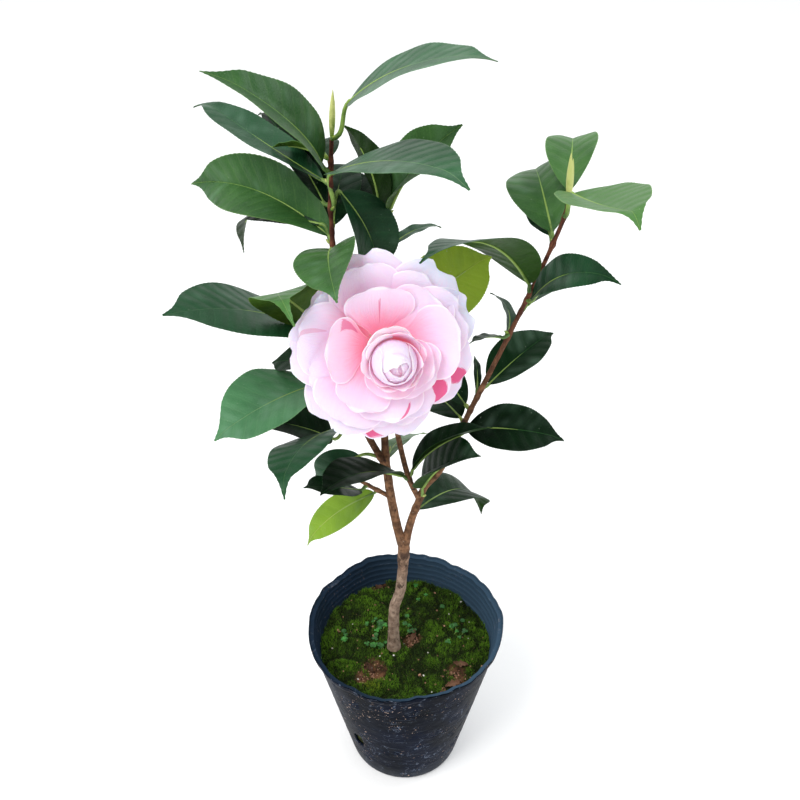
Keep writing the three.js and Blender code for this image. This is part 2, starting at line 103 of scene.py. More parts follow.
FOLIAGE = {
    "left_top_leaves": ("left_stem", [
        leaf(186, 151, 23, 86, 35, -14, "dark", arch=0, bend=0.03, petiole=5, hook=0.09, twist=-16),
        leaf(193, -146, 44, 81, 36, 47, "mid", arch=0.16, bend=0.07, fold=31, petiole=5, lift=5,
             hook_from=0.8, twist=17, skew=0.81),
        leaf(212, -34, 22, 85, 45, -26, "sheen", fold=5, petiole=12, lift=21, hook_from=0.8,
             twist=-29),
        leaf(199, 157, 3, 32, 14, -22, "mid", arch=0.09, fold=30, petiole=2, lift=1, hook=0),
        leaf(197, 112, -10, 46, 24, 0, "deep"),
    ]),
    "left_upper_leaves": ("left_stem", [
        leaf(152, 142, 2, 110, 44, 22, "light", bend=-0.04, fold=45, petiole=2, lift=5, hook=0,
             twist=-58, skew=0.85),
        leaf(172, -46, 13, 96, 50, -8, "sheen", arch=0.07, bend=0.02, fold=10, petiole=2, lift=21,
             hook=0.05, twist=-7),
        leaf(176, 30, -70, 56, 36, -50, "dark", arch=0.16, bend=-0.06, fold=35, petiole=6, lift=5,
             twist=48, skew=0.82),
        leaf(174, 122, 23, 84, 24, 6, "deep", arch=0.02, bend=-0.02, fold=35, petiole=8, lift=0,
             hook=0.08, twist=18),
        leaf(154, 135, -12, 89, 16, 29, "dark", arch=0.11, bend=0.06, fold=20, petiole=8, lift=8,
             hook=0.33, hook_from=0.51, twist=5, skew=0.92),
        leaf(160, 85, 16, 58, 26, 0, "deep"),
    ]),
    "left_side_leaves": ("left_stem", [
        leaf(100, -145, 24, 95, 58, 0, "dark", arch=0.07, bend=-0.04, fold=2, petiole=9, hook=0,
             hook_from=0.9,
             twist=-12),
        leaf(95, -99, 37, 88, 33, -46, "mid", arch=0.22, bend=-0.02, fold=3, petiole=13, lift=12,
             hook=0.12,
             hook_from=0.89, twist=-44, skew=0.98),
        leaf(138, -84, 5, 67, 36, -12, "mid", arch=0.07, bend=-0.02, fold=28, petiole=12, lift=18,
             twist=19,
             skew=0.85),
        leaf(120, 80, -15, 64, 30, 0, "deep"),
    ]),
    "left_low_leaves": ("left_stem", [
        leaf(9, -185, -33, 34, 23, 72, "dark", arch=0.13, bend=-0.06, fold=21, petiole=13, lift=0,
             twist=-8, skew=0.93),
        leaf(48, -109, 13, 84, 36, -36, "dark", bend=-0.03, fold=6, petiole=17, lift=-3, hook=0.09,
             hook_from=0.88, twist=-31),
        leaf(41, -160, 27, 60, 40, 22, "deep", arch=0.06, bend=-0.02, fold=33, petiole=17, lift=-12,
             twist=22, skew=0.82),
        leaf(70, -147, -10, 71, 58, -13, "sheen", bend=0.06, fold=20, petiole=12, lift=0, hook=0.02,
             hook_from=0.86, twist=-26, skew=0.92),
        leaf(85, 166, -21, 36, 24, 5, "deep", arch=0.01, bend=0.1, petiole=7, twist=-13),
        leaf(44, 95, -20, 60, 30, 0, "deep"),
    ]),
    "middle_top_leaves": ("middle_stem", [
        leaf(140, 45, 0, 40, 11, 5, "dark"),
        leaf(155, 135, 59, 54, 32, -70, "dark", lift=3, twist=9),
        leaf(161, -4, 51, 59, 35, 0, "mid", bend=-0.06, fold=41, petiole=2, lift=4, hook=0, twist=59),
        leaf(150, 120, 13, 61, 28, 5, "deep", bend=0.02, petiole=5),
    ]),
    "middle_side_leaves": ("middle_stem", [
        leaf(91, -25, 45, 81, 42, 90, "young", petiole=5, lift=4),
        leaf(78, 110, 5, 66, 31, 0, "deep"),
        leaf(102, 50, -5, 66, 31, 0, "deep"),
    ]),
    "middle_low_leaves": ("middle_stem", [
        leaf(8, 59, -14, 54, 19, 24, "light", bend=0.08, fold=8, petiole=2, lift=-4, hook=0),
        leaf(40, 100, 5, 60, 28, 0, "deep"),
    ]),
    "twig_leaves": ("left_twig", [
        leaf(10, -172, -40, 59, 21, 47, "young", bend=-0.06, fold=14, petiole=2, lift=-2, hook=0.05,
             skew=0.84),
        leaf(18, -140, 31, 48, 25, -5, "deep", arch=0.02, fold=9, petiole=6, lift=-1, hook=0.01,
             twist=-11),
    ]),
    "bloom_twig_leaves": ("bloom_twig", [
        leaf(21, -135, 20, 69, 35, -13, "deep", bend=-0.05, fold=25, petiole=6, lift=6, hook=0,
             twist=-11),
        leaf(24, -10, 39, 60, 26, -12, "deep", arch=0.12, fold=47, petiole=3, lift=6, hook=0,
             twist=-33),
    ]),
    "right_foot_leaves": ("right_stem", [
        leaf(34, 42, -30, 73, 39, 1, "deep", arch=0.21, petiole=2, lift=-2, hook=0.06,
             hook_from=0.81, skew=0.92),
        leaf(44, -48, 48, 70, 40, -33, "deep", arch=0.07, bend=0.04, fold=46, petiole=2, lift=9, hook=0,
             twist=-11, skew=0.83),
    ]),
    "right_low_leaves": ("right_stem", [
        leaf(101, -10, 0, 58, 33, -25, "deep"),
        leaf(106, 115, -10, 50, 28, 15, "deep"),
        leaf(127, 89, 12, 33, 5, -16, "deep", fold=19, lift=0, twist=11),
        leaf(133, 38, 19, 55, 32, -8, "deep", arch=0.05, fold=29, petiole=6, lift=1),
        leaf(117, 140, 25, 52, 28, 0, "deep"),
    ]),
    "right_upper_leaves": ("right_stem", [
        leaf(170, 102, 19, 35, 11, -51, "dark", arch=0.17, bend=-0.04, petiole=2, lift=0, hook=0.02,
             twist=-25),
        leaf(173, -135, 17, 31, 9, -12, "dark", arch=0.06, petiole=5, lift=0, hook=0.02),
        leaf(196, -56, 32, 70, 22, -49, "dark", bend=0.1, fold=35, lift=1, hook_from=0.86, twist=21,
             skew=0.85),
        leaf(201, -133, 27, 100, 42, -10, "dark", arch=0.15, fold=6, petiole=2, lift=6, hook=0.02,
             twist=12),
        leaf(188, 33, 9, 50, 23, 15, "dark", lift=3),
    ]),
    "right_top_leaves": ("right_stem", [
        leaf(231, 92, 10, 65, 38, 15, "mid", arch=0.18, fold=21, petiole=5, lift=5, twist=-12,
             skew=0.91),
        leaf(247, -81, 16, 86, 44, 0, "light", arch=-0.02, fold=29, petiole=8, lift=16, hook=0.09,
             hook_from=0.87, twist=15, skew=0.95),
        leaf(258, 80, 6, 62, 30, 17, "light", arch=0.16, bend=-0.04, fold=28, hook=0.01, twist=14,
             skew=0.92),
        leaf(231, 100, 8, 34, 16, 12, "dark", arch=0.05, petiole=5, lift=3),
    ]),
}


# ---------------------------------------------------------------- meshes
class Build:
    """Collects the vertices, faces, materials and point attributes of one piece, in millimetres."""

    def __init__(self, name):
        self.name = name
        self.points, self.faces, self.finish, self.marks = [], [], [], {}
        self.count = 0

    def add(self, points, faces, material=0, **marks):
        points = np.asarray(points, float).reshape(-1, 3)
        self.points.append(points)
        for group in faces:
            self.faces += (np.asarray(group, int) + self.count).tolist()
            self.finish += [material] * len(group)
        for key, values in marks.items():
            values = np.broadcast_to(np.asarray(values, float), (len(points), 3))
            self.marks.setdefault(key, []).append((self.count, values))
        self.count += len(points)

    def paint_last(self, group_sizes_and_materials):
        """Gives the faces added last their own materials, in the order in which they were added."""
        start = len(self.finish) - sum(size for size, _ in group_sizes_and_materials)
        for size, material in group_sizes_and_materials:
            self.finish[start:start + size] = [material] * size
            start += size

    def object(self, materials, sharp=60):
        mesh = bpy.data.meshes.new(self.name)
        mesh.from_pydata((np.concatenate(self.points) * MM).tolist(), [], self.faces)
        for material in materials:
            mesh.materials.append(material)
        mesh.polygons.foreach_set("material_index", np.array(self.finish, np.int32))
        mesh.polygons.foreach_set("use_smooth", np.ones(len(self.faces), bool))
        for key, parts in self.marks.items():
            values = np.zeros((self.count, 3), np.float32)
            for start, part in parts:
                values[start:start + len(part)] = part
            layer = mesh.attributes.new(key, "FLOAT_VECTOR", "POINT")
            layer.data.foreach_set("vector", values.ravel())
        mesh.set_sharp_from_angle(angle=math.radians(sharp))
        made = bpy.data.objects.new(self.name, mesh)
        bpy.context.scene.collection.objects.link(made)
        return made


def grid_faces(rows, columns, closed=False):
    """The quads of a grid of rows x columns points, whose last column may join its first."""
    i = np.arange(rows - 1)[:, None]
    j = np.arange(columns if closed else columns - 1)[None, :]
    k = (j + 1) % columns
    near, far = i * columns, (i + 1) * columns
    return np.stack([near + j, near + k, far + k, far + j], -1).reshape(-1, 4)


def add_closed(build, grid, middles, material=0, turned=False, **marks):
    """Adds a closed body from a grid of rings and the middles of its first and last ring."""
    rows, around = grid.shape[:2]
    size = rows * around
    j = np.arange(around)
    k = (j + 1) % around
    last = size - around
    faces = [grid_faces(rows, around, closed=True), np.stack([np.full(around, size), k, j], -1),
             np.stack([np.full(around, size + 1), last + j, last + k], -1)]
    if turned:
        faces = [group[:, ::-1] for group in faces]
    build.add(np.concatenate([grid.reshape(-1, 3), middles]), faces, material, **marks)


def stacked(*parts):
    """Arrays and numbers that stretch to one shape, put together as the coordinates of points."""
    return np.stack(np.broadcast_arrays(*parts), -1)


def both_faces(values):
    """What the points of a sheet carry: the same on its front and its back."""
    return np.concatenate([values.reshape(-1, 3)] * 2)


def sheet(start, *steps):
    """A sheet's points: start, and each direction times how far along it each point lies."""
    for direction, distance in steps:
        start = start + direction * distance[..., None]
    return start


def sheet_axes(rows, columns):
    """How far along (0 to 1) and across (-1 to 1) a sheet its rows and columns of points lie."""
    return np.linspace(0, 1, rows)[:, None], np.linspace(-1, 1, columns)[None, :]


def unit(v):
    return v / np.maximum(np.linalg.norm(v, axis=-1, keepdims=True), 1e-9)


def smooth(low, high, x):
    t = np.clip((x - low) / (high - low), 0, 1)
    return t * t * (3 - 2 * t)


def grid_normals(grid):
    return unit(np.cross(np.gradient(grid, axis=0), np.gradient(grid, axis=1)))


def shell(grid, thickness):
    """Front points, back points and the faces of a thin closed sheet over a grid of points."""
    rows, columns = grid.shape[:2]
    back = grid - grid_normals(grid) * np.broadcast_to(thickness, (rows, columns))[..., None]
    front = grid_faces(rows, columns)
    size = rows * columns
    index = np.arange(size).reshape(rows, columns)
    border = np.concatenate([index[0, :-1], index[:-1, -1], index[-1, :0:-1], index[:0:-1, 0]])
    after = np.roll(border, -1)
    rim = np.stack([border, after, after + size, border + size], -1)
    points = np.concatenate([grid.reshape(-1, 3), back.reshape(-1, 3)])
    return points, front[:, ::-1], front + size, rim


def heading(turn, rise):
    turn, rise = math.radians(turn), math.radians(rise)
    return np.array([math.cos(turn) * math.cos(rise), math.sin(turn) * math.cos(rise), math.sin(rise)])


def curve_through(path, step=1.2):
    """A smooth line through the points of a path, as evenly spaced points."""
    path = np.array(path, float)
    ends = np.vstack([2 * path[0] - path[1], path, 2 * path[-1] - path[-2]])
    fine = []
    for a, b, c, d in zip(ends, ends[1:], ends[2:], ends[3:]):
        gaps = [math.sqrt(np.linalg.norm(q - p)) for p, q in ((a, b), (b, c), (c, d))]
        leave = ((b - a) / gaps[0] - (c - a) / (gaps[0] + gaps[1]) + (c - b) / gaps[1]) * gaps[1]
        reach = ((c - b) / gaps[1] - (d - b) / (gaps[1] + gaps[2]) + (d - c) / gaps[2]) * gaps[1]
        for t in np.linspace(0, 1, 16, endpoint=False):
            fine.append((2 * t**3 - 3 * t**2 + 1) * b + (t**3 - 2 * t**2 + t) * leave
                        + (3 * t**2 - 2 * t**3) * c + (t**3 - t**2) * reach)
    fine.append(path[-1])
    return resampled(np.array(fine), step)


def lengths(line):
    return np.r_[0, np.cumsum(np.linalg.norm(np.diff(line, axis=0), axis=1))]


def resampled(line, step):
    along = lengths(line)
    places = np.linspace(0, along[-1], max(3, round(along[-1] / step) + 1))
    return np.stack([np.interp(places, along, line[:, k]) for k in range(3)], -1)


def at_length(line, where):
    along = lengths(line)
    return np.array([np.interp(where, along, line[:, k]) for k in range(3)])


def bezier(a, b, c, d, count):
    t = np.linspace(0, 1, count)[:, None]
    return a * (1 - t)**3 + 3 * b * t * (1 - t)**2 + 3 * c * t**2 * (1 - t) + d * t**3


def line_frames(line):
    """Two directions square to a line at each of its points, which turn as little as they can."""
    ahead = unit(np.gradient(line, axis=0))
    side = unit(np.cross(ahead[0], [0.3, 0.2, 1.0] if abs(ahead[0][2]) < 0.9 else [0, 1.0, 0]))
    sides = []
    for tangent in ahead:
        side = unit(side - tangent * np.dot(side, tangent))
        sides.append(side)
    sides = np.array(sides)
    return sides, np.cross(ahead, sides)


def rings_round(line, sides):
    """Evenly spaced angles, and the direction out from each point of a line at each of them."""
    across, up = line_frames(line)
    angles = np.linspace(0, 2 * math.pi, sides, endpoint=False)
    x, y = np.cos(angles)[None, :, None], np.sin(angles)[None, :, None]
    return angles, across[:, None] * x + up[:, None] * y


def tube(build, line, radii, sides, material=0, **marks):
    """A closed rod along a line. radii is one per point, or one per point and side."""
    angles, ring = rings_round(line, sides)
    radii = np.asarray(radii, float)
    radii = np.broadcast_to(radii.reshape(len(line), -1) if radii.ndim else radii, (len(line), sides))
    grid = line[:, None] + ring * radii[..., None]
    along = lengths(line)
    rod = stacked(angles[None, :] / (2 * math.pi), along[:, None] / 100, 0.0)
    ends = [[0, 0, 0], [0, along[-1] / 100, 0]]
    add_closed(build, grid, [line[0], line[-1]], material,
               rod=np.concatenate([rod.reshape(-1, 3), ends]), **marks)


def ridges(points, scale, seed):
    """Smooth noise from -1 to 1 at each point."""
    flat = np.asarray(points, float).reshape(-1, 3)
    shift = Vector((seed * 7.3, seed * 3.1, seed * 5.7))
    values = [noise.noise(Vector(p) * scale + shift) for p in flat]
    return np.array(values).reshape(np.shape(points)[:-1])


# ---------------------------------------------------------------- materials
class Value:
    """A number that varies over a surface. Arithmetic with it makes the nodes that work it out."""

    def __init__(self, finish, socket):
        self.finish, self.socket = finish, socket

    def __add__(self, other):
        return self.finish.maths("ADD", self, other)

    def __sub__(self, other):
        return self.finish.maths("SUBTRACT", self, other)

    def __rsub__(self, other):
        return self.finish.maths("SUBTRACT", other, self)

    def __mul__(self, other):
        return self.finish.maths("MULTIPLY", self, other)

    def __truediv__(self, other):
        return self.finish.maths("DIVIDE", self, other)

    def __abs__(self):
        return self.finish.maths("ABSOLUTE", self)


class Finish:
    """A material of one Principled shader, with short calls for its nodes."""

    def __init__(self, name, **constants):
        self.material = bpy.data.materials.new(name)
        self.material.use_nodes = True
        self.tree = self.material.node_tree
        self.shader = self.tree.nodes["Principled BSDF"]
        for key, value in constants.items():
            self.shader.inputs[key.replace("_", " ")].default_value = value
        self.place = self.node("ShaderNodeTexCoord").outputs["Object"]

    def node(self, kind, *feeds, **settings):
        made = self.tree.nodes.new(kind)
        for key, value in settings.items():
            setattr(made, key, value)
        for socket, feed in feeds:
            self.feed(made.inputs[socket], feed)
        return made

    def feed(self, socket, value):
        if isinstance(value, Value):
            value = value.socket
        if isinstance(value, bpy.types.NodeSocket):
            self.tree.links.new(value, socket)
        elif isinstance(value, str):
            socket.default_value = colour(value)
        else:
            socket.default_value = value

    def split(self, vector):
        parts = self.node("ShaderNodeSeparateXYZ", (0, vector))
        return [Value(self, part) for part in parts.outputs]

    def attribute(self, name):
        return self.split(self.node("ShaderNodeAttribute", attribute_name=name).outputs["Vector"])

    def maths(self, operation, a, b=0.0):
        return Value(self, self.node("ShaderNodeMath", (0, a), (1, b), operation=operation).outputs[0])

    def step(self, value, low, high, start=0.0, end=1.0):
        made = self.node("ShaderNodeMapRange", (0, value), (1, low), (2, high), (3, start), (4, end),
                         interpolation_type="SMOOTHSTEP")
        return Value(self, made.outputs[0])

    def mix(self, share, a, b):
        return self.node("ShaderNodeMix", (0, share), (6, a), (7, b), data_type="RGBA").outputs[2]

    def noise(self, scale, detail=3.0, where=None, rough=0.55):
        made = self.node("ShaderNodeTexNoise", (0, where or self.place), (2, scale), (3, detail),
                         (4, rough))
        return Value(self, made.outputs[0])

    def patches(self, scale, detail, *steps):
        """Noise stretched so that it is 0 below the first step and 1 above the second."""
        return self.step(self.noise(scale, detail), *steps)

    def cell_edges(self, scale):
        """The distance to the nearest border between cells."""
        made = self.node("ShaderNodeTexVoronoi", (0, self.place), feature="DISTANCE_TO_EDGE")
        made.inputs["Scale"].default_value = scale
        return Value(self, made.outputs[0])

    def vector(self, x, y, z):
        return self.node("ShaderNodeCombineXYZ", (0, x), (1, y), (2, z)).outputs[0]

    def done(self, base, rough, height, depth):
        """Feeds the shader its colour, its roughness and a bump, depth metres deep."""
        self.feed(self.shader.inputs["Base Color"], base)
        self.feed(self.shader.inputs["Roughness"], rough)
        bump = self.node("ShaderNodeBump", ("Strength", 1.0), ("Distance", depth), ("Height", height))
        self.feed(self.shader.inputs["Normal"], bump.outputs[0])
        return self.material


def colour(code):
    """A linear colour from an sRGB hex code."""
    parts = [int(code[i:i + 2], 16) / 255 for i in (0, 2, 4)]
    return [c / 12.92 if c <= 0.04045 else ((c + 0.055) / 1.055)**2.4 for c in parts] + [1.0]


# Side veins: spacing and width in decimetres along the midrib, depth in millimetres.
VEINS = {"spacing": 0.085, "slant": 0.55, "width": 0.10, "depth": 0.11}


def leaf_finish(name, deep, bright, rib, roughness, gloss, under=False):
    """A leaf's face: blotched green, with a pale midrib, slanting side veins, a fine network and pale
    painted sheen patches between the veins.
    """
    f = Finish(name, Specular_IOR_Level=gloss, Specular_Tint=(0.75, 1.0, 0.78, 1.0))
    along, across, tint = f.attribute("blade")
    reach, off, _ = f.attribute("span")
    off = abs(off)
    shade = f.noise(55, 3) * 0.7 + tint * 0.6
    base = f.mix(f.step(shade, 0.3, 0.95), deep, bright)
    slanted = reach - off * VEINS["slant"]
    wander = f.noise(90, 2) * 0.03
    count = (slanted + wander) / VEINS["spacing"]
    vein_gap = f.maths("PINGPONG", count, 0.5)
    vein = f.step(vein_gap, 0.0, VEINS["width"], 1.0, 0.0)
    swell = f.step(vein_gap, 0.05, 0.45)
    # Painted sheen: pale blue-green patches between the side veins stand in for the gloss on the quilted
    # blade.
    painted_sheen = f.patches(38, 2, 0.5, 0.72) * (swell * 0.6 + 0.4)
    base = f.mix(painted_sheen * (0.05 if under else 0.16), base, "8cb098")
    net = f.cell_edges(620)
    net_line = f.step(net, 0.02, 0.12, 1.0, 0.0)
    base = f.mix(vein * 0.045, base, rib)
    base = f.mix(net_line * 0.03, base, rib)
    rib_width = f.step(along, 0.0, 1.0, 0.0070, 0.0020)
    on_rib = f.step(off / rib_width, 0.4, 1.0, 1.0, 0.0)
    base = f.mix(on_rib * 0.55, base, rib)
    edge = f.step(abs(across), 0.965, 1.0)
    base = f.mix(edge * 0.3, base, rib)
    speck = f.patches(900, 1, 0.76, 0.80)
    base = f.mix(speck * 0.4, base, "a9b8a4")
    rough = f.noise(160, 3) * 0.16 + (roughness - 0.08)
    turned = 1.0 if under else -1.0
    height = vein * (0.22 * turned)
    height = height + on_rib * (0.9 * turned)
    height = height + swell * (-0.9 * turned)
    height = height + net_line * (0.16 * turned)
    height = height + f.noise(330, 2) * 0.35
    return f.done(base, rough, height, 0.00028)


def bark_finish():
    """Grey-beige bark low down, brown above and reddish on the young shoots, with fine cracks."""
    f = Finish("bark", Specular_IOR_Level=0.3)
    x, _, z = f.split(f.place)
    height = z + f.noise(60, 3) * 0.05
    low = f.mix(f.patches(240, 4, 0.35, 0.7), "7c6656", "ab9481")
    middle = f.mix(f.patches(240, 4, 0.35, 0.7), "5a3d28", "92694a")
    young = f.mix(f.patches(200, 3, 0.35, 0.7), "4c2418", "7d4a34")
    base = f.mix(f.step(height, 0.18, 0.24), low, middle)
    base = f.mix(f.step(height, 0.32, 0.43), base, young)
    round_it, along, _ = f.attribute("rod")
    stretched = f.vector(round_it * 9.0, along * 14.0, x)
    fibre = f.noise(2.2, 5, stretched, 0.7)
    crack = f.step(fibre, 0.36, 0.46, 1.0, 0.0)
    base = f.mix(crack * 0.6, base, "2e2019")
    by_knot = abs(z - KNOT["level"] * MM)
    scarred = f.patches(150, 3, 0.44, 0.56) * f.step(by_knot, 0.004, 0.012, 1.0, 0.0)
    nick = f.patches(95, 2, 0.66, 0.7) * f.patches(400, 2, 0.4, 0.5)
    base = f.mix(f.maths("MAXIMUM", scarred, nick) * 0.8, base, "33221a")
    lichen = f.patches(420, 3, 0.66, 0.74)
    base = f.mix(lichen * 0.3, base, "c3b9a6")
    rough = f.step(fibre, 0.3, 0.7, 0.92, 0.72)
    bumps = fibre * 0.9 - crack * 0.5
    return f.done(base, rough, bumps, 0.0005)


def green_wood_finish(name, low, high):
    """A petiole, bud or shoot: smooth with fine bumps, paler in patches and towards its far end."""
    f = Finish(name, Specular_IOR_Level=0.45)
    _, along, _ = f.attribute("rod")
    base = f.mix(f.step(f.noise(170, 3) + along * 1.5, 0.4, 0.8), low, high)
    return f.done(base, f.patches(300, 2, 0.3, 0.7, 0.38, 0.55), f.noise(500, 3), 0.00015)


def petal_finish():
    """A petal: salmon pink at its claw, paler outwards to a near-white, faintly lilac rim, with a
    painted glow that lifts its shade and a painted highlight on the lit backs of the inmost petals.
    """
    f = Finish("petal", Subsurface_Weight=0.3, Subsurface_Scale=0.004, Specular_IOR_Level=0.08,
               Emission_Strength=0.16)
    along, across, warmth = f.attribute("petal")
    place, side, marked = f.attribute("mark")
    cool, chance, lit = f.attribute("hue")
    streaks = f.noise(2.0, 3, f.vector(across * 9.0, along * 1.3, chance))
    out = along + (streaks - 0.5) * 0.26
    out = out - warmth
    deep = f.step(out, 0.12, 0.66, 1.0, 0.0)
    base = f.mix(deep, "ecc6de", "f292ae")
    pale = f.step(out, 0.55, 1.05)
    base = f.mix(pale * 0.7, base, "e8d4e8")
    base = f.mix(pale * cool * 0.8, base, "ced8ea")
    edge = f.maths("MAXIMUM", abs(across), along)
    base = f.mix(f.step(edge, 0.93, 1.0) * 0.6, base, "faf0f6")
    shape = f.vector(across * 14.0, along * 3.0, chance)
    fray = (f.noise(2.2, 3, shape, 0.7) - 0.5) * 0.9
    spread = (place + 1.25) * 0.46
    beside = abs(side) / f.maths("MAXIMUM", spread, 0.05)
    inside = f.maths("MAXIMUM", beside, abs(place)) + fray
    stain = f.step(inside, 0.8, 0.98, 1.0, 0.0) * marked
    base = f.mix(stain * 0.92, base, "d4497f")
    # Painted highlight: the lit backs of the inmost petals and the bud are whitened.
    base = f.mix(f.step(lit, 0.3, 0.95) * 0.7, base, "fff0f3")
    # Painted glow: the petals emit light at about half their colour, pinker and warmer towards the claw,
    # to fill the shade between them.
    painted_glow = f.mix(0.45, base, "000000")
    painted_glow = f.mix(deep * 0.8, painted_glow, "ff8490")
    f.feed(f.shader.inputs["Emission Color"], painted_glow)
    ribs = f.noise(6.0, 2, f.vector(across * 7.0, along * 0.8, chance))
    bumps = ribs + f.noise(700, 2) * 0.25
    return f.done(base, f.step(ribs, 0.3, 0.7, 0.55, 0.68), bumps, 0.0002)


def pot_finish():
    """Thin black-blue nursery plastic: scuffed, dusty and flecked outside, cleaner inside, with painted
    light making the inner wall a lighter blue-grey, most on its right side.
    """
    f = Finish("pot_plastic", Specular_IOR_Level=0.015, Specular_Tint=(0.6, 0.75, 1.0, 1.0))
    x, y, z = f.split(f.place)
    normal = f.node("ShaderNodeNewGeometry").outputs["Normal"]
    level_place = f.vector(x, y, 0.0)
    outward = f.node("ShaderNodeVectorMath", (0, normal), (1, level_place), operation="DOT_PRODUCT")
    inside = f.step(outward.outputs["Value"], -0.008, 0.008, 1.0, 0.0)
    base = f.mix(f.patches(28, 4, 0.3, 0.7), "01040b", "091224")
    # Painted light: the inner wall is lighter blue-grey, most on its right side, which the light
    # reaches.
    painted_lit_side = f.step(x, -0.045, 0.045, 0.25, 1.0)
    base = f.mix(inside * painted_lit_side, base, "364a5c")
    dust = f.step(f.noise(85, 6, rough=0.72), 0.50, 0.72)
    base = f.mix(dust * 0.1, base, "33405a")
    low = f.step(z, 0.0, 0.02, 0.4, 0.0)
    base = f.mix(low * f.noise(130, 4), base, "6e747c")
    level = f.vector(x * 70.0, y * 70.0, z * 700.0)
    scratch = f.step(f.noise(1.0, 4, level, 0.7), 0.60, 0.66)
    base = f.mix(scratch * 0.1, base, "8995a8")
    threads = 0.0
    for scale, where in ((62, 0.5), (95, 0.47), (140, 0.53)):
        line = abs(f.noise(scale, 3, rough=0.5) - where)
        held = f.step(line, 0.002, 0.008, 1.0, 0.0) * f.patches(scale * 0.9, 2, 0.54, 0.62)
        threads = f.maths("MAXIMUM", threads, held)
    threads = threads * (1.0 - inside)
    base = f.mix(threads * 0.38, base, "8d9ab0")
    flecks = f.step(f.noise(520, 3, rough=0.6), 0.64, 0.67)
    high_up = f.step(z, 0.05, 0.13, 0.0, 0.08)
    patches = f.step(f.noise(40, 2) + high_up, 0.5, 0.66)
    patches = patches * (1.0 - inside * 0.85)
    mud = flecks * patches
    base = f.mix(mud * 0.9, base, "c4ab9c")
    rough = dust * 0.28 + 0.36
    rough = rough + mud * 0.3
    bumps = f.noise(180, 3) * 0.6 + mud * 0.6
    bumps = bumps + scratch * 0.15
    return f.done(base, rough, bumps, 0.0005)


def soil_finish():
    """Dark moss floor, brown where it is bare, and darker green-brown low down where the slots show it,
    as painted shade.
    """
    f = Finish("soil", Specular_IOR_Level=0.2)
    bare_share, _, _ = f.attribute("moss")
    brown = f.mix(f.patches(170, 4, 0.35, 0.65), "2a1a10", "6b4a33")
    base = f.mix(bare_share, f.mix(f.noise(120, 4), "0a0f04", "22300c"), brown)
    base = f.mix(f.patches(600, 3, 0.66, 0.72), base, "8b7358")
    _, _, height = f.split(f.place)
    # Painted shade: the soil inside the wall, seen through the slots, is darkened.
    slot_shade = f.mix(f.patches(240, 4, 0.45, 0.6), "14120a", "3c4418")
    base = f.mix(f.step(height, 0.085, 0.095, 1.0, 0.0), base, slot_shade)
    return f.done(base, f.patches(300, 3, 0.3, 0.7, 0.82, 1.0), f.noise(420, 4), 0.0012)


def moss_finish():
    """Moss blades: painted shade darkens them at the foot and in the creases between cushions; they are
    bright on the cushions.
    """
    f = Finish("moss", Specular_IOR_Level=0.25)
    clump, up, chance = f.attribute("moss")
    # Painted shade: blades low in the cushions' creases are dark, those on top bright.
    base = f.mix(clump, "0a1903", "5e8a1c")
    base = f.mix(f.step(chance, 0.78, 1.0, 0.0, 0.7), base, "8a9a26")
    # Painted shade at the foot of each blade.
    base = f.mix(f.step(up, 0.0, 0.9, 1.0, 0.0) * 0.9, base, "050b02")
    base = f.mix(f.noise(900, 2) * 0.2, base, "304a12")
    return f.done(base, f.patches(500, 2, 0.3, 0.7, 0.6, 0.85), f.noise(900, 2), 0.0002)


def grit_finish(name, dark, light):
    """Grains and crumbs, each with its own shade between dark and light."""
    f = Finish(name, Specular_IOR_Level=0.3)
    _, _, chance = f.attribute("moss")
    base = f.mix(chance * 0.7 + f.noise(500, 3) * 0.4, dark, light)
    return f.done(base, f.patches(420, 3, 0.3, 0.7, 0.7, 0.95), f.noise(700, 4), 0.0006)


def floor_finish():
    f = Finish("floor", Specular_IOR_Level=0.2)
    base = f.mix(f.noise(3, 2), "fbfbfb", "fefefe")
    return f.done(base, f.patches(40, 2, 0.3, 0.7, 0.75, 0.85), f.noise(200, 2), 0.0001)


# The tones are partly lit and shaded copies of one leaf green. deep and dark are painted shade for
# leaves low in the plant or turned away from the light. mid, light and sheen are lit copies for leaves
# facing it, and sheen's bluish green is a painted sky reflection. young is the young leaves' own
# yellow-green.
TONES = {
    # dark end, light end and midrib of the upper face, then how rough and how glossy it is
    "deep": ("020d05", "0a2810", "2f5c2c", 0.44, 0.09),
    "dark": ("072010", "1a4428", "426f40", 0.40, 0.20),
    "mid": ("23481f", "4c7a3a", "7fa658", 0.38, 0.26),
    "sheen": ("1f4a2c", "44784e", "80a872", 0.42, 0.26),
    "light": ("244a20", "467038", "8cb45e", 0.40, 0.22),
    "young": ("486c14", "789a28", "b4c864", 0.42, 0.24),
}
UNDERSIDES = {
    "deep": ("0e2206", "1c3a0c", "47682a", 0.52, 0.12),
    "dark": ("172f0b", "2a4a16", "51702e", 0.52, 0.16),
    "mid": ("24400f", "44641e", "789640", 0.52, 0.16),
    "sheen": ("24400f", "44641e", "789640", 0.52, 0.16),
    "light": ("355818", "5e8430", "96b450", 0.52, 0.16),
    "young": ("4c6e14", "7c9a26", "aec45c", 0.52, 0.18),
}
LEAF_FINISHES = [leaf_finish(f"leaf_{tone}", *TONES[tone]) for tone in TONES]
LEAF_FINISHES += [leaf_finish(f"leaf_{tone}_under", *under, under=True)
                  for tone, under in UNDERSIDES.items()]
BARK = bark_finish()
PETIOLE = green_wood_finish("petiole", "46682a", "86a44c")
BUD = green_wood_finish("bud", "7c9636", "c6cb7c")


# ---------------------------------------------------------------- stems
LINES = {name: curve_through(path) for name, (_, path) in LIMBS.items()}
FLARE = (1.4, 12.0)  # widening of the trunk at the ground in mm, and how fast it fades
FORK = {"level": 197, "size": 0.7, "spread": 8.0}  # where the wood thickens as it divides
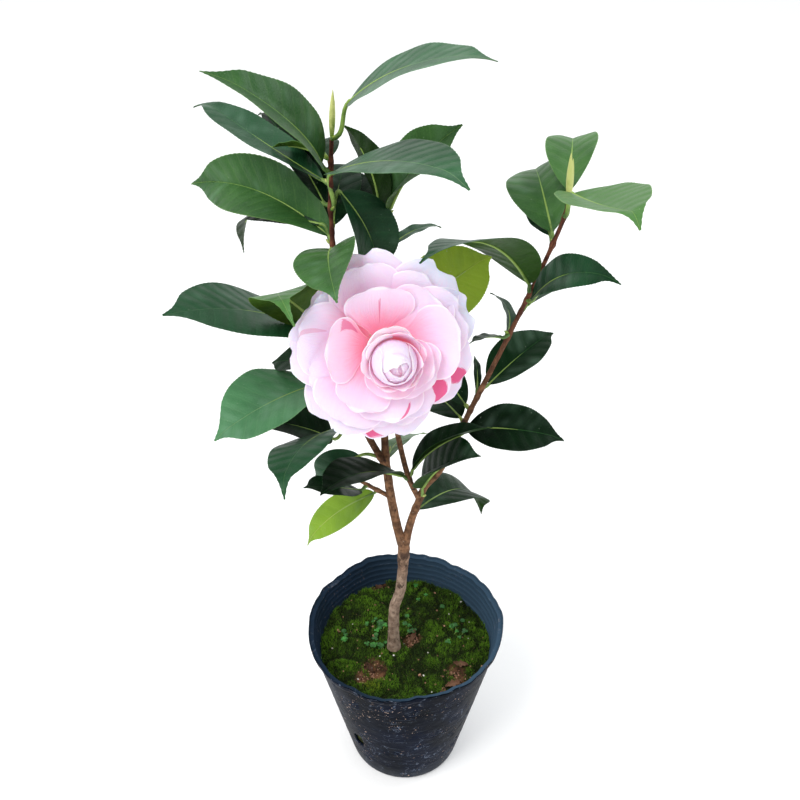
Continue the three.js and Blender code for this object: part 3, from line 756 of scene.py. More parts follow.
# How far short of a limb's end its bark stops, and its end bud's length, width and lean.
SHOOT_TIPS = {
    "left_stem": {"bare": 0, "length": 25, "width": 3.2, "lean": (0.10, -0.05, 1)},
    "right_stem": {"bare": 21, "length": 25, "width": 3.6, "lean": (-0.04, 0, 1)},
    "middle_stem": {"bare": 8, "length": 9, "width": 3.0, "lean": (0.1, 0.1, 1)},
}


def limb_radius(name, where):
    (start, end, thinning), _ = LIMBS[name]
    share = np.clip(where / lengths(LINES[name])[-1], 0, 1)
    radius = end + (start - end) * (1 - share)**thinning
    return radius + (FLARE[0] * np.exp(-share * FLARE[1]) if name == "trunk" else 0)


def bark(build, name, nodes, seed):
    """A limb with the bark's ridges, swollen a little at each place where a leaf leaves it."""
    line = LINES[name]
    if name in SHOOT_TIPS:
        line = line[lengths(line) <= lengths(line)[-1] - SHOOT_TIPS[name]["bare"]]
    along = lengths(line)
    sides = 18 if name == "trunk" else 14
    radii = limb_radius(name, along)[:, None] * np.ones((1, sides))
    wood = line[:, None] + rings_round(line, sides)[1] * radii[..., None]
    stretched = wood * np.array([1, 1, 0.28])
    rugged = radii.mean() / 3.6
    radii += (ridges(stretched, 0.9, seed) * 0.20 + ridges(wood, 0.22, seed + 1) * 0.26) * rugged**1.5
    for where in nodes:
        radii += 0.35 * np.exp(-((along - where) / 1.8)**2)[:, None]
    radii += FORK["size"] * np.exp(-((line[:, 2] - FORK["level"]) / FORK["spread"])**2)[:, None]
    if name == "trunk":
        bump = np.exp(-((line[:, 2] - KNOT["level"]) / KNOT["spread"])**2)[:, None]
        radii += bump * KNOT["size"] * (0.6 + 0.8 * ridges(wood, 0.35, seed + 3))
    tube(build, line, radii, sides)


# ---------------------------------------------------------------- leaves
LEAF_ROWS, LEAF_COLUMNS = 72, 13
TOOTH = 0.28
LEAF_THICKNESS = 0.4
# A stalk's points and its radii at its ends, then those of the rib it turns into under the blade.
STALK = (10, 1.35, 1.0)
RIB = (51, 0.95, 0.3)
BUD_POINTS = 12


def leaf_directions(entry):
    ahead = heading(entry["turn"], entry["rise"])
    turn = math.radians(entry["turn"])
    side = np.array([-math.sin(turn), math.cos(turn), 0])
    roll = math.radians(entry["roll"])
    face = np.cross(ahead, side) * math.cos(roll) + side * math.sin(roll)
    return ahead, face, np.cross(face, ahead)


def outline(s, skew, drawn):
    """A blade's half width as a share of its widest, from its base to its drawn-out tip."""
    body = np.sin(np.pi * np.clip(s, 0, 1)**skew)**0.72 * (1 - 0.35 * s**6)
    return np.maximum(body * (1 - drawn * smooth(0.80, 0.97, s)), 0.012)


def midrib(entry, node, s):
    """Points along the arched midrib, whose last stretch hooks down."""
    ahead, face, across = leaf_directions(entry)
    length = entry["length"]
    s = np.asarray(s, float)[:, None]
    base = node + heading(entry["turn"], 0) * entry["petiole"] + np.array([0, 0, entry["lift"]])
    hooked = np.clip((s - entry["hook_from"]) / (1 - entry["hook_from"]), 0, 1)
    hook = hooked**1.6 * entry["hook"] * length
    down = np.array([0, 0, -0.6]) - face * 0.4
    return (base + ahead * s * length + face * 4 * entry["arch"] * length * s * (1 - s)
            + across * 4 * entry["bend"] * length * s * (1 - s) + down * hook)


def add_leaf(build, petioles, node, limb_width, entry, dice):
    """One leaf: its blade as a thin closed sheet, and its stalk."""
    _, face, across = leaf_directions(entry)
    s = np.linspace(0, 1, LEAF_ROWS)
    v = np.sin(np.linspace(-1, 1, LEAF_COLUMNS) * math.pi / 2 * 0.94) / math.sin(math.pi / 2 * 0.94)
    spine = midrib(entry, node, s)
    ahead = unit(np.gradient(spine, axis=0))
    twist = math.radians(entry["twist"]) * s
    side = across * np.cos(twist)[:, None] + face * np.sin(twist)[:, None]
    side = unit(side - ahead * np.sum(side * ahead, axis=1, keepdims=True))
    up = np.cross(ahead, side)
    half = outline(s, entry["skew"], entry["drawn"]) * entry["width"] / 2
    teeth = TOOTH * (np.arange(LEAF_ROWS) % 2) * smooth(0.10, 0.25, s)
    reach = np.abs(v)[None, :] * half[:, None] + (np.abs(v)[None, :] > 0.999) * teeth[:, None]
    fold = math.radians(entry["fold"]) * (1 - 0.35 * s)[:, None]
    phase = dice.uniform(0, 6.28)
    waves = dice.uniform(2.2, 3.4)
    sign = np.sign(v)[None, :]
    edge = np.abs(v)[None, :]
    # Each half rises from the midrib, rounds over, and ripples a little at its margin.
    height = reach * np.sin(fold) * (1 - entry["hollow"] * edge)
    swing = np.sin(waves * 2 * math.pi * s[:, None] + phase + sign * 0.9)
    height += entry["wave"] * edge**3 * swing * smooth(0.05, 0.3, s)[:, None]
    slanted = s[:, None] * entry["length"] - reach * VEINS["slant"]
    veins = np.abs((slanted / (VEINS["spacing"] * 100)) % 1 - 0.5)
    height += ((0.5 - veins * 2) * VEINS["depth"] * edge**0.5 * smooth(0, 0.3, 1 - edge)
               * smooth(0.02, 0.15, s)[:, None])
    grid = (spine[:, None] + side[:, None] * (sign * reach * np.cos(fold))[..., None]
            + up[:, None] * height[..., None])
    points, front, back, rim = shell(grid, LEAF_THICKNESS * (1 - 0.6 * edge**4))
    tint, chance = dice.random(), dice.random()
    blade = stacked(s[:, None], v[None, :], tint)
    span = stacked(s[:, None] * entry["length"] / 100, sign * reach / 100, chance)
    tones = list(TONES)
    upper = tones.index(entry["tone"])
    lower = upper + len(tones)
    build.add(points, [front, back, rim], upper, blade=both_faces(blade), span=both_faces(span))
    build.paint_last([(len(front), upper), (len(back), lower), (len(rim), upper)])

    # The stalk runs out of the stem, bends round to the midrib and goes on under the blade as a rib.
    away = unit(spine[0] - node)
    start = node + away * limb_width * 0.6
    gap = np.linalg.norm(spine[0] - start)
    leave = unit(heading(entry["turn"], 0) + np.array([0, 0, 0.3]))
    stalk = bezier(start, start + leave * gap * 0.45, spine[0] - ahead[0] * gap * 0.45, spine[0],
                   STALK[0])
    under = slice(1, RIB[0] + 1)
    line = np.concatenate([stalk, spine[under] - up[under] * 0.45])
    radii = np.concatenate([np.linspace(start, end, count) for count, start, end in (STALK, RIB)])
    tube(petioles, line, radii, 8)


def add_bud(build, base, direction, length, width, dice, scales=3):
    """A pointed bud of overlapping scales."""
    direction = unit(np.array(direction, float))
    for k in range(scales):
        lean = unit(direction + np.array([dice.uniform(-1, 1) for _ in range(3)]) * 0.05)
        share = 1 - 0.22 * k
        line = base + lean * np.linspace(0, length * (0.62 + 0.38 * share), BUD_POINTS)[:, None]
        t = np.linspace(0, 1, BUD_POINTS)
        swelling = np.sin(np.pi * np.clip(t * 0.86 + 0.14, 0, 1))**0.8
        radii = width / 2 * share * np.maximum(swelling, 0.05)
        tube(build, line + lean * length * 0.12 * (scales - 1 - k) / scales, radii, 8)


LEAVES, STALKS, BUDS = Build("leaves"), Build("petioles"), Build("buds")
BARKS = {"trunk_bark": ["trunk"],
         "boughs_bark": ["left_fork", "right_stem", "middle_stem", "left_stem"],
         "twigs_bark": ["left_twig", "bloom_twig"]}


def grow():
    """Grows every spray: its leaves, their stalks, and a bud in some of the leaf joints."""
    dice = random.Random(11)
    for limb, entries in FOLIAGE.values():
        for entry in entries:
            node = at_length(LINES[limb], entry["at"])
            width = float(limb_radius(limb, entry["at"]))
            add_leaf(LEAVES, STALKS, node, width, entry, dice)
            if dice.random() < 0.6:
                out = heading(entry["turn"] + dice.uniform(-15, 15), 40)
                add_bud(BUDS, node + out * width * 0.8, out, dice.uniform(3, 5.5), 1.8, dice, 2)
    for limb, tip in SHOOT_TIPS.items():
        end = at_length(LINES[limb], lengths(LINES[limb])[-1] - tip["bare"])
        add_bud(BUDS, end - np.array([0, 0, 1.5]), tip["lean"], tip["length"], tip["width"], dice, 3)
    seed = 1
    for piece, names in BARKS.items():
        build = Build(piece)
        for name in names:
            nodes = [e["at"] for limb, entries in FOLIAGE.values() if limb == name for e in entries]
            bark(build, name, nodes, seed)
            seed += 5
        made = build.object([BARK], 75)
        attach(made, "root")
        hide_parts(*names)


grow()
masses = list(FOLIAGE)
for build, finishes, sharp in ((LEAVES, LEAF_FINISHES, 50), (STALKS, [PETIOLE], 75), (BUDS, [BUD], 75)):
    made = build.object(finishes, sharp)
    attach(made, "root")
    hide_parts(*masses)


# ---------------------------------------------------------------- the bloom
BLOOM_AT = np.array([-12.0, -56.0, 383.5])
BLOOM_AXIS = heading(-82, 18)
BLOOM_RIGHT = heading(8, 0)
BLOOM_UP = np.cross(BLOOM_AXIS, BLOOM_RIGHT)


def petal(turn, reach, width, lift, wrap=0.2, cup=0.5, curl=1.2, warmth=0.0, cool=0.0, claw=3,
          mark=None, ruffle=0.7, lean=1.3, tip=-0.05):
    """A petal heading turn degrees round the bloom, whose rim is reach out and lift up its axis.

    Its tip is notched where tip is below 0 and pointed where it is above."""
    return {"turn": turn, "reach": reach, "width": width, "lift": lift, "wrap": wrap, "cup": cup,
            "curl": curl, "warmth": warmth, "cool": cool, "claw": claw, "mark": mark, "ruffle": ruffle,
            "lean": lean, "tip": tip}


# Rings from the outermost petals to the cup. A mark is a deep pink wedge: how far out and across its
# middle is, then its half length and half width, all as shares of the petal, and its strength.
PETALS = [
    # the back ring
    petal(97, 50, 40, -9, cool=0.4, lean=-1.5),
    petal(50, 51, 38, -7, cool=1.0, ruffle=1.1),
    petal(20, 50, 36, -8, cool=0.9, lean=2),
    petal(-22, 48, 42, -8, cool=0.4, mark=(0.80, -0.10, 0.20, 0.42, 1.0)),
    petal(-84, 49, 44, -9, cool=0.4, lean=-2, mark=(0.82, -0.72, 0.14, 0.20, 1.0)),
    petal(-128, 49, 44, -7, cool=0.5, ruffle=1.1),
    petal(-160, 44, 36, -8, cool=0.3),
    petal(177, 47, 38, -7, cool=0.3, lean=2),
    petal(148, 43, 34, -13, cool=0.6),
    # the second ring
    petal(102, 44, 38, -5, cool=0.1, lean=-1),
    petal(48, 43, 40, -3, cool=0.3, lean=-1),
    petal(22, 45, 40, -3, cool=0.3, lean=2),
    petal(-50, 41, 36, -3, cool=0.1, mark=(0.80, 0.50, 0.34, 0.46, 1.0)),
    petal(-83, 42, 38, -5, cool=0.2, ruffle=1.0),
    petal(-125, 43, 42, -2, cool=0.1, lean=-2),
    petal(-165, 40, 36, -4, cool=0.2),
    petal(168, 43, 40, -5, cool=0.3, lean=1, mark=(0.80, -0.26, 0.20, 0.12, 0.35)),
    petal(146, 41, 34, -9, cool=0.8),
    # the third ring
    petal(91, 32, 36, 3, cup=2, curl=0.8, tip=0.03, mark=(0.50, 0.0, 0.28, 0.04, 0.6)),
    petal(38, 37, 38, 0, cup=1, tip=0.02, lean=-2, mark=(0.62, -0.26, 0.10, 0.05, 0.6)),
    petal(5, 39, 40, 2, cup=1.5, curl=0.9, tip=0.02, lean=2.5),
    petal(-34, 29, 32, 3, cup=2, curl=0.8, tip=0.05),
    petal(-84, 37, 36, -1, cup=1, curl=0.8, tip=0.02, lean=1, mark=(0.86, 0.55, 0.15, 0.12, 0.9)),
    petal(-118, 32, 30, 2, cup=3, curl=0.3, tip=0.05, lean=-2.5),
    petal(174, 28, 34, 3, cup=3, curl=0.3, tip=0.05, lean=1.5, mark=(0.50, -0.75, 0.20, 0.22, 0.7)),
]
# The cup stands round the bud, lower and to the right of the bloom's middle.
CUP_PETALS = [
    petal(-20, 20, 30, 6, wrap=0.8, cup=1.5, curl=0.5, tip=0.06),
    petal(-98, 19, 30, 5, wrap=0.8, cup=1.5, curl=0.5, tip=0.06),
    petal(24, 15.5, 24, 11, wrap=1, cup=1, curl=0.6, warmth=0.30, tip=0.06),
    petal(-45, 14, 26, 11, wrap=1, cup=1, curl=0.3, warmth=0.24, tip=0.08),
    petal(-118, 14, 24, 10, wrap=1, cup=1, curl=0.3, warmth=0.24, tip=0.06),
    petal(66, 15, 24, 12, wrap=1, cup=1, curl=1.2, warmth=0.30, tip=0.04),
    petal(172, 15, 24, 14, wrap=1, cup=0, curl=4.2, warmth=-0.05),
    petal(130, 14, 22, 15, wrap=1, cup=0, curl=4.4, warmth=-0.05),
    petal(98, 16.5, 28, 14, wrap=1, cup=0, curl=4.6, warmth=-0.05),
    petal(0, 12.6, 22, 13, wrap=1, cup=0.5, curl=0.3, warmth=0.28, tip=0.06),
    petal(-75, 12.6, 22, 12, wrap=1, cup=0.5, curl=0.3, warmth=0.28, tip=0.08),
    petal(-150, 12.6, 22, 12, wrap=1, cup=0.5, curl=0.3, warmth=0.28, tip=0.06),
]
CUP_SHIFT = (4.5, -4.0)
# The closed bud in the cup: petals that lie on an egg, each as turn, radius, half spread, how far short
# of the top its rim stays (past the top below 0), all in degrees but the radius, and its warmth.
BUD_PETALS = [(112, 10.8, 58, 2, -0.2), (-15, 11.2, 64, 40, 0.05), (-95, 11.2, 64, 46, 0.05),
              (-170, 11.1, 60, 38, 0.0), (50, 10.6, 60, 28, 0.1), (-55, 10.4, 56, 26, 0.2),
              (-130, 10.3, 58, 20, 0.2), (10, 10.1, 54, 10, 0.2), (90, 9.7, 60, -10, 0.1),
              (-150, 9.6, 60, 0, 0.35), (-40, 9.4, 60, -8, 0.35)]
BUD_MIDDLE, BUD_STRETCH = 6.5, 1.25
CUP_AT = BLOOM_AT + BLOOM_RIGHT * CUP_SHIFT[0] + BLOOM_UP * CUP_SHIFT[1]
PETAL_ROWS, PETAL_COLUMNS = 26, 19
BLOOM_FLOOR = -13.0  # how far behind the bloom's middle its petals start
CALYX = {"scales": 9, "size": 9.5, "waist": 1.8, "level": -17.5}
NO_MARK = np.array([9.0, 9.0, 0.0])  # a place far from any mark, and no strength


def round_bloom(angle):
    """The directions at these angles round the bloom's axis."""
    return BLOOM_RIGHT * np.cos(angle)[..., None] + BLOOM_UP * np.sin(angle)[..., None]


def painted_highlight_side(turn):
    """How much painted highlight whitens the backs of the inmost petals: most at the upper left, where
    the light falls, not at all opposite.
    """
    return max(0.0, math.cos(math.radians(turn - 125)))


def add_petal(build, p, order, dice, middle=BLOOM_AT):
    """A rounded petal on a narrow claw, cupped across, with a soft uneven rim."""
    s, v = sheet_axes(PETAL_ROWS, PETAL_COLUMNS)
    s = np.sin(s * math.pi / 2)
    v = np.sin(v * math.pi / 2 * 0.9) / math.sin(math.pi / 2 * 0.9)
    rounded = np.sqrt(np.clip(1 - (np.clip(s - 0.6, 0, 1) / 0.4)**2.6, 0.0008, 1))
    half = p["width"] / 2 * np.where(s > 0.6, rounded, 0.22 + 0.78 * smooth(0, 0.6, s))
    phase = dice.uniform(0, 6.28)
    side = v * half / (p["width"] / 2)
    nibbled = 0.014 * np.sin(side * 7 + phase) + 0.007 * np.sin(side * 17 + phase * 3)
    t = s * (1 + (p["tip"] * np.exp(-(side / 0.22)**2) + nibbled) * smooth(0.7, 1.0, s))
    # From the claw out: up beside the bud first, then over towards the rim.
    reach, lift = p["reach"], p["lift"]
    steep = min(1.0, max(0.0, (lift + 8) / 26))
    mid_out = reach * (0.55 + 0.35 * steep)
    mid_up = BLOOM_FLOOR + (lift - BLOOM_FLOOR) * (0.75 - 0.45 * steep) + 2.0
    out = (1 - t)**2 * p["claw"] + 2 * t * (1 - t) * mid_out + t**2 * reach
    up = (1 - t)**2 * BLOOM_FLOOR + 2 * t * (1 - t) * mid_up + t**2 * lift
    x = v * half
    edge = np.maximum(np.abs(v), t)
    ripple = p["ruffle"] * (np.sin(side * 4.2 + phase) * edge**4
                            + 0.5 * np.sin(side * 9 + phase * 2) * edge**8)
    up = up + p["cup"] * (v**2) * (half / (p["width"] / 2)) * (1 - 0.35 * t) + ripple
    up = up - p["curl"] * np.clip((edge - 0.62) / 0.38, 0, 1)**2 + p["lean"] * side * t
    out = out + 0.5 * p["wrap"] * p["curl"] * np.clip((t - 0.7) / 0.3, 0, 1)**2
    turn = math.radians(p["turn"])
    radial = BLOOM_RIGHT * math.cos(turn) + BLOOM_UP * math.sin(turn)
    beside = -BLOOM_RIGHT * math.sin(turn) + BLOOM_UP * math.cos(turn)
    flat = sheet(0, (radial, out), (beside, x))
    around = turn + x / np.maximum(out, 0.45 * p["width"])
    wrapped = round_bloom(around) * out[..., None]
    grid = middle + flat * (1 - p["wrap"]) + wrapped * p["wrap"] + BLOOM_AXIS * up[..., None]
    grid += BLOOM_AXIS * (ridges(grid, 0.07, 40 + order) * t)[..., None]
    points, front, back, rim = shell(grid, 0.22 + 0.3 * (1 - edge))
    petal_mark = stacked(t, v, p["warmth"])
    # Painted highlight on the cup petals' lit side.
    lit = painted_highlight_side(p["turn"]) * t * (middle is CUP_AT)
    hue = stacked(p["cool"], dice.random() * 10, lit)
    if p["mark"]:
        where, beyond, long, wide, strength = p["mark"]
        mark = stacked((t - where) / long, (v - beyond) / wide, strength)
    else:
        mark = NO_MARK * np.ones_like(grid)
    build.add(points, [front, back, rim], 0, petal=both_faces(petal_mark), mark=both_faces(mark),
              hue=both_faces(hue))


def add_bud_petal(build, turn, radius, spread, over, warmth, dice):
    """A petal that lies on the egg of the closed bud, its rim just proud of the one beneath."""
    s, v = sheet_axes(18, 17)
    polar = np.radians(140 - (140 - over) * s)
    widest = np.sqrt(np.clip(1 - (np.clip(s - 0.45, 0, 1) / 0.55)**2.6, 0.002, 1))
    half = math.radians(spread) * widest
    size = radius + 0.6 * np.clip((s - 0.75) / 0.25, 0, 1)**2
    across = math.radians(turn) + v * half / np.maximum(np.sin(polar), 0.55)
    out = size * np.sin(polar)
    up = BUD_MIDDLE + size * BUD_STRETCH * np.cos(polar)
    grid = sheet(CUP_AT, (round_bloom(across), out), (BLOOM_AXIS, up))
    points, front, back, rim = shell(grid, 0.12)
    petal_mark = stacked(0.2 + 0.8 * s, v, warmth)
    # Painted highlight on the bud petals' lit side.
    hue = stacked(0.0, dice.random() * 10, 0.8 * painted_highlight_side(turn) * s * np.ones_like(v))
    build.add(points, [front, back, rim], 0, petal=both_faces(petal_mark), mark=NO_MARK,
              hue=both_faces(hue))


def make_bloom():
    dice = random.Random(5)
    outer, inner = Build("petals_outer"), Build("petals_inner")
    for order, p in enumerate(PETALS):
        add_petal(outer if p["lift"] < 2 else inner, p, order, dice)
    for order, p in enumerate(CUP_PETALS):
        add_petal(inner, p, 60 + order, dice, CUP_AT)
    for turn, radius, spread, over, warmth in BUD_PETALS:
        add_bud_petal(inner, turn, radius, spread, over, warmth, dice)
    finish = petal_finish()
    for build in (outer, inner):
        made = build.object([finish], 70)
        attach(made, "root")
        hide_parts("bloom")
    # The calyx: round green scales behind the petals, down to the twig.
    calyx = Build("calyx")
    s, v = sheet_axes(10, 9)
    for k in range(CALYX["scales"]):
        turn = math.radians(k * GOLDEN)
        size = CALYX["size"] - 0.5 * k
        around = turn + v * 0.62 * np.sqrt(np.clip(1 - ((s - 0.45) / 0.57)**2, 0.001, 1))
        out = CALYX["waist"] + size * np.sin(s * 1.35)
        up = CALYX["level"] + 0.25 * k + 5.5 * s**1.6
        grid = sheet(BLOOM_AT, (round_bloom(around), out), (BLOOM_AXIS, up))
        points, front, back, rim = shell(grid, 0.5)
        calyx.add(points, [front, back, rim], 0)
    line = BLOOM_AT + BLOOM_AXIS * np.linspace(-19, -9, 8)[:, None]
    tube(calyx, line, np.linspace(2.2, 6.5, 8), 14)
    made = calyx.object([BUD], 60)
    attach(made, "root")
    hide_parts("bloom")


make_bloom()


# ---------------------------------------------------------------- the pot
POT_LOW, POT_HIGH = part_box("pot")
POT = {"rim": (POT_HIGH.x - POT_LOW.x) / 2 / MM, "foot": 41.0, "height": POT_HIGH.z / MM, "wall": 1.3,
       "lip_depth": 1.6, "lip_height": 6.0, "hollow": 1.2, "floor": 2.6}
SLOT = {"count": 3, "first": -132.0, "level": 42.0, "width": 9.0, "height": 15.0}
POT_AROUND = 220


def pot_radius(z):
    """The outer wall's radius at a height, under the lip."""
    return POT["foot"] + (POT["rim"] - POT["lip_depth"] - POT["foot"]) * z / POT["height"]


def pot_profile():
    """Radius and height from the middle of the underside, up the outside and down the inside."""
    wall, height = POT["wall"], POT["height"]
    foot, lip, under_lip = POT["foot"], POT["rim"], height - POT["lip_height"]
    rows = [(0.0, POT["hollow"]), (foot - 4, POT["hollow"]), (foot - 2.5, 0.0), (foot - 0.6, 0.0),
            (foot, 0.8)]
    for z in np.linspace(3, under_lip - 0.5, 56):
        ridge = 0.10 * math.exp(-((z % 11.5 - 5.7) / 1.1)**2)
        rows.append((pot_radius(z) + ridge, z))
    rows += [(lip - 1.2, under_lip + 0.4), (lip - 0.9, under_lip + 1.6), (lip - 0.7, height - 3.0),
             (lip - 0.4, height - 1.4), (lip - 0.3, height - 0.4), (lip - 0.5, height - 0.1),
             (lip - 0.9, height - 0.4), (lip - 1.4, height - 1.8)]
    for z in np.linspace(height - 2.4, 96, 60):
        groove = 0.8 * math.exp(-((z % 4.4 - 2.2) / 0.45)**2)
        rows.append((pot_radius(z) - wall + 0.1 - groove, z))
    rows += [(pot_radius(z) - wall, z) for z in np.linspace(92, 4, 12)]
    rows += [(foot - 6, POT["floor"]), (0.0, POT["floor"])]
    return np.array(rows)


def sag(angle, z):
    """How far the soft wall stands in or out at an angle and height, and how far its rim drops."""
    share = np.clip(z / POT["height"], 0, 1)
    push = share**2 * (0.9 * np.sin(2 * angle + 0.6) + 0.55 * np.sin(3 * angle + 2.1)
                       + 0.28 * np.sin(7 * angle + 1.0) + 0.16 * np.sin(13 * angle)) - 1.2 * share**2
    drop = share**10 * (0.7 * np.sin(4 * angle + 0.8) + 0.7 * np.sin(9 * angle + 2.0)
                        + 0.55 * np.sin(17 * angle + 0.5) + 0.45 * np.sin(29 * angle)
                        + 0.3 * np.sin(47 * angle + 1.0) - 1.6)
    return push, drop


def make_pot():
    profile = pot_profile()[1:-1]
    angle = np.linspace(0, 2 * math.pi, POT_AROUND, endpoint=False)[None, :]
    r, z = profile[:, :1], profile[:, 1:]
    push, drop = sag(angle, z)
    r, z = r + push, z + drop
    grid = stacked(r * np.cos(angle), r * np.sin(angle), z)
    build = Build("pot_shell")
    add_closed(build, grid, [[0, 0, POT["hollow"]], [0, 0, POT["floor"]]])
    pot = build.object([pot_finish()], 50)
    # Rounded drain slots through the wall.
    cutters = Build("slot_cutters")
    for number in range(SLOT["count"]):
        turn = SLOT["first"] + number * 360 / SLOT["count"]
        out = heading(turn, 0)
        aside = heading(turn + 90, 0)
        middle = out * pot_radius(SLOT["level"]) + np.array([0, 0, SLOT["level"]])
        ring = []
        for a in np.linspace(0, 2 * math.pi, 20, endpoint=False):
            rounded = [math.copysign(abs(f(a))**0.6, f(a)) for f in (math.cos, math.sin)]
            ring.append(aside * rounded[0] * SLOT["width"] / 2
                        + np.array([0, 0, rounded[1] * SLOT["height"] / 2 + rounded[0] * 1.5]))
        middles = np.array([middle - out * 5, middle + out * 5])
        add_closed(cutters, middles[:, None] + np.array(ring), middles)
    tool = cutters.object([])
    cut = pot.modifiers.new("slots", "BOOLEAN")
    cut.operation, cut.object, cut.solver = "DIFFERENCE", tool, "EXACT"
    bpy.context.view_layer.update()
    evaluated = pot.evaluated_get(bpy.context.evaluated_depsgraph_get())
    carved = bpy.data.meshes.new_from_object(evaluated)
    pot.modifiers.clear()
    pot.data = carved
    bpy.data.objects.remove(tool)
    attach(pot, "root")
    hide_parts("pot")


make_pot()


# ---------------------------------------------------------------- the soil and what grows on it
SOIL_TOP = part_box("soil")[1].z / MM - 1.5
SOIL_EDGE = pot_radius(SOIL_TOP) - POT["wall"] - 0.6
SOIL_FOOT = 3.2
SOIL_RINGS, SOIL_AROUND = 40, 120
TRUNK_AT = LIMBS["trunk"][1][0]

# Where brown soil shows between the cushions: x, y and radius. Then what sprouts where, and how many.
BARE_PATCHES = [(-21, -23, 9), (36, -28, 8), (38, -38, 6), (3, 1, 5), (-22, 58, 7), (-31, -30, 5),
                (8, 3, 4)]
SPROUTS = [(-21, 13, 8, 10), (-20, -3, 7, 9), (3, 11, 5, 5), (33, 6, 12, 6), (-42, 2, 6, 3),
           (20, 30, 30, 6)]
YELLOW_CLUMP = (-23, -36, 9)


def pillow(x, y, spacing, seed):
    """Rounded cushions with creases between them, from 0 to 1."""
    crease = abs(noise.noise(Vector((x / spacing, y / spacing, seed))))
    return 1 - (1 - min(1, crease * 3.2))**2


def mossiness(x, y):
    return 0.65 * pillow(x, y, 17, 1.7) + 0.35 * pillow(x, y, 7, 5.1)


def ground(x, y):
    """The mossy top's height: cushions with creases between, lower on the bare patches."""
    swell = noise.noise(Vector((x * 0.03, y * 0.03, 4.4))) * 2.4
    return SOIL_TOP + swell + 3.4 * (mossiness(x, y) - 0.6) - 1.2 * bare(x, y)


def bare(x, y):
    """0 where moss is thick, to 1 on a bare brown patch."""
    ragged = 4.5 * noise.noise(Vector((x * 0.16, y * 0.16, 3.3)))
    held = max(radius - math.hypot(x - px, y - py) for px, py, radius in BARE_PATCHES)
    return float(smooth(-1.5, 2.5, held + ragged))


def make_soil():
    build = Build("soil_bed")
    angle = np.linspace(0, 2 * math.pi, SOIL_AROUND, endpoint=False)
    grid = []
    for r in np.r_[0.5, np.linspace(2, SOIL_EDGE, SOIL_RINGS)]:
        ring = [(r * math.cos(a), r * math.sin(a)) for a in angle]
        grid.append([(x, y, ground(x, y)) for x, y in ring])
    for z in (80, 40, SOIL_FOOT):
        r = pot_radius(z) - POT["wall"] - 0.8
        grid.append([(math.cos(a) * r, math.sin(a) * r, z) for a in angle])
    grid = np.array(grid)
    middles = [[0, 0, ground(0, 0)], [0, 0, SOIL_FOOT]]
    bareness = [(bare(x, y) if z > SOIL_TOP / 2 else 1, 0, 0)
                for x, y, z in [*grid.reshape(-1, 3), *middles]]
    add_closed(build, grid, middles, moss=np.array(bareness))
    made = build.object([soil_finish()], 80)
    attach(made, "root")
    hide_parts("soil")


MOSS_BLADES = 46000
TRUNK_CLEARING = 4.5  # no moss grows nearer to the trunk's middle


def make_moss():
    """Thousands of short curved blades in cushions, thin on the bare patches."""
    dice = np.random.default_rng(3)
    build = Build("moss_blades")
    points, faces, marks = [], [], []
    for _ in range(MOSS_BLADES):
        r = SOIL_EDGE * math.sqrt(dice.random())
        a = dice.random() * 2 * math.pi
        x, y = r * math.cos(a), r * math.sin(a)
        if dice.random() < bare(x, y) * 0.93:
            continue
        if math.hypot(x - TRUNK_AT[0], y - TRUNK_AT[1]) < TRUNK_CLEARING:
            continue
        # clump sets each blade's height and its colour, dark in the creases as painted shade and bright
        # on the cushions.
        clump = mossiness(x, y)**2.4 * (0.85 + 0.9 * noise.noise(Vector((x * 0.06, y * 0.06, 8.8))))
        clump = min(1, max(0, clump + dice.normal() * 0.13))
        tall = 1.2 + 1.2 * dice.random() + 0.8 * clump
        lean = dice.random() * 2 * math.pi
        out = np.array([math.cos(lean), math.sin(lean), 0])
        aside = np.array([-out[1], out[0], 0]) * (0.13 + 0.09 * dice.random())
        yellow = math.hypot(x - YELLOW_CLUMP[0], y - YELLOW_CLUMP[1]) < YELLOW_CLUMP[2] * dice.random()
        base = np.array([x, y, ground(x, y) - 0.6])
        bend = tall * (0.25 + 0.5 * dice.random())
        middle = base + out * bend * 0.35 + np.array([0, 0, tall * 0.6])
        tip = base + out * bend + np.array([0, 0, tall])
        edge = math.hypot(tip[0], tip[1])
        if edge > SOIL_EDGE:
            tip[:2] *= SOIL_EDGE / edge
        k = len(points)
        points += [base - aside, base + aside, middle + aside * 0.9, middle - aside * 0.9, tip]
        faces += [(k, k + 1, k + 2, k + 3), (k + 3, k + 2, k + 4)]
        chance = 1.0 if yellow else 0.9 * dice.random()
        marks += [(clump, height, chance) for height in (0.0, 0.0, 0.6, 0.6, 1.0)]
    quads = np.array([f for f in faces if len(f) == 4])
    tips = np.array([f for f in faces if len(f) == 3])
    build.add(points, [quads, tips], 0, moss=np.array(marks))
    made = build.object([moss_finish()], 180)
    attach(made, "root")
    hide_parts("soil")


def lump(build, centre, size, dice, material=0):
    """A small uneven stone or crumb."""
    rows, columns = 5, 7
    polar = np.linspace(0.25, math.pi - 0.25, rows)[:, None]
    around = np.linspace(0, 2 * math.pi, columns, endpoint=False)[None, :]
    shape = stacked(np.sin(polar) * np.cos(around), np.sin(polar) * np.sin(around), np.cos(polar))
    shape = shape * (0.75 + 0.5 * dice.random((rows, columns, 1))) * size * np.array([1, 0.8, 0.6])
    turn = dice.random() * 6.28
    spin = np.array([[math.cos(turn), -math.sin(turn), 0], [math.sin(turn), math.cos(turn), 0],
                     [0, 0, 1]])
    shape = shape @ spin.T + centre
    add_closed(build, shape, [shape[0].mean(0), shape[-1].mean(0)], material, turned=True,
               moss=[0, 0, dice.random()])


CRUMBS = 230
LITTER_SHARE = 0.97  # of the soil's radius, which the crumbs stay inside
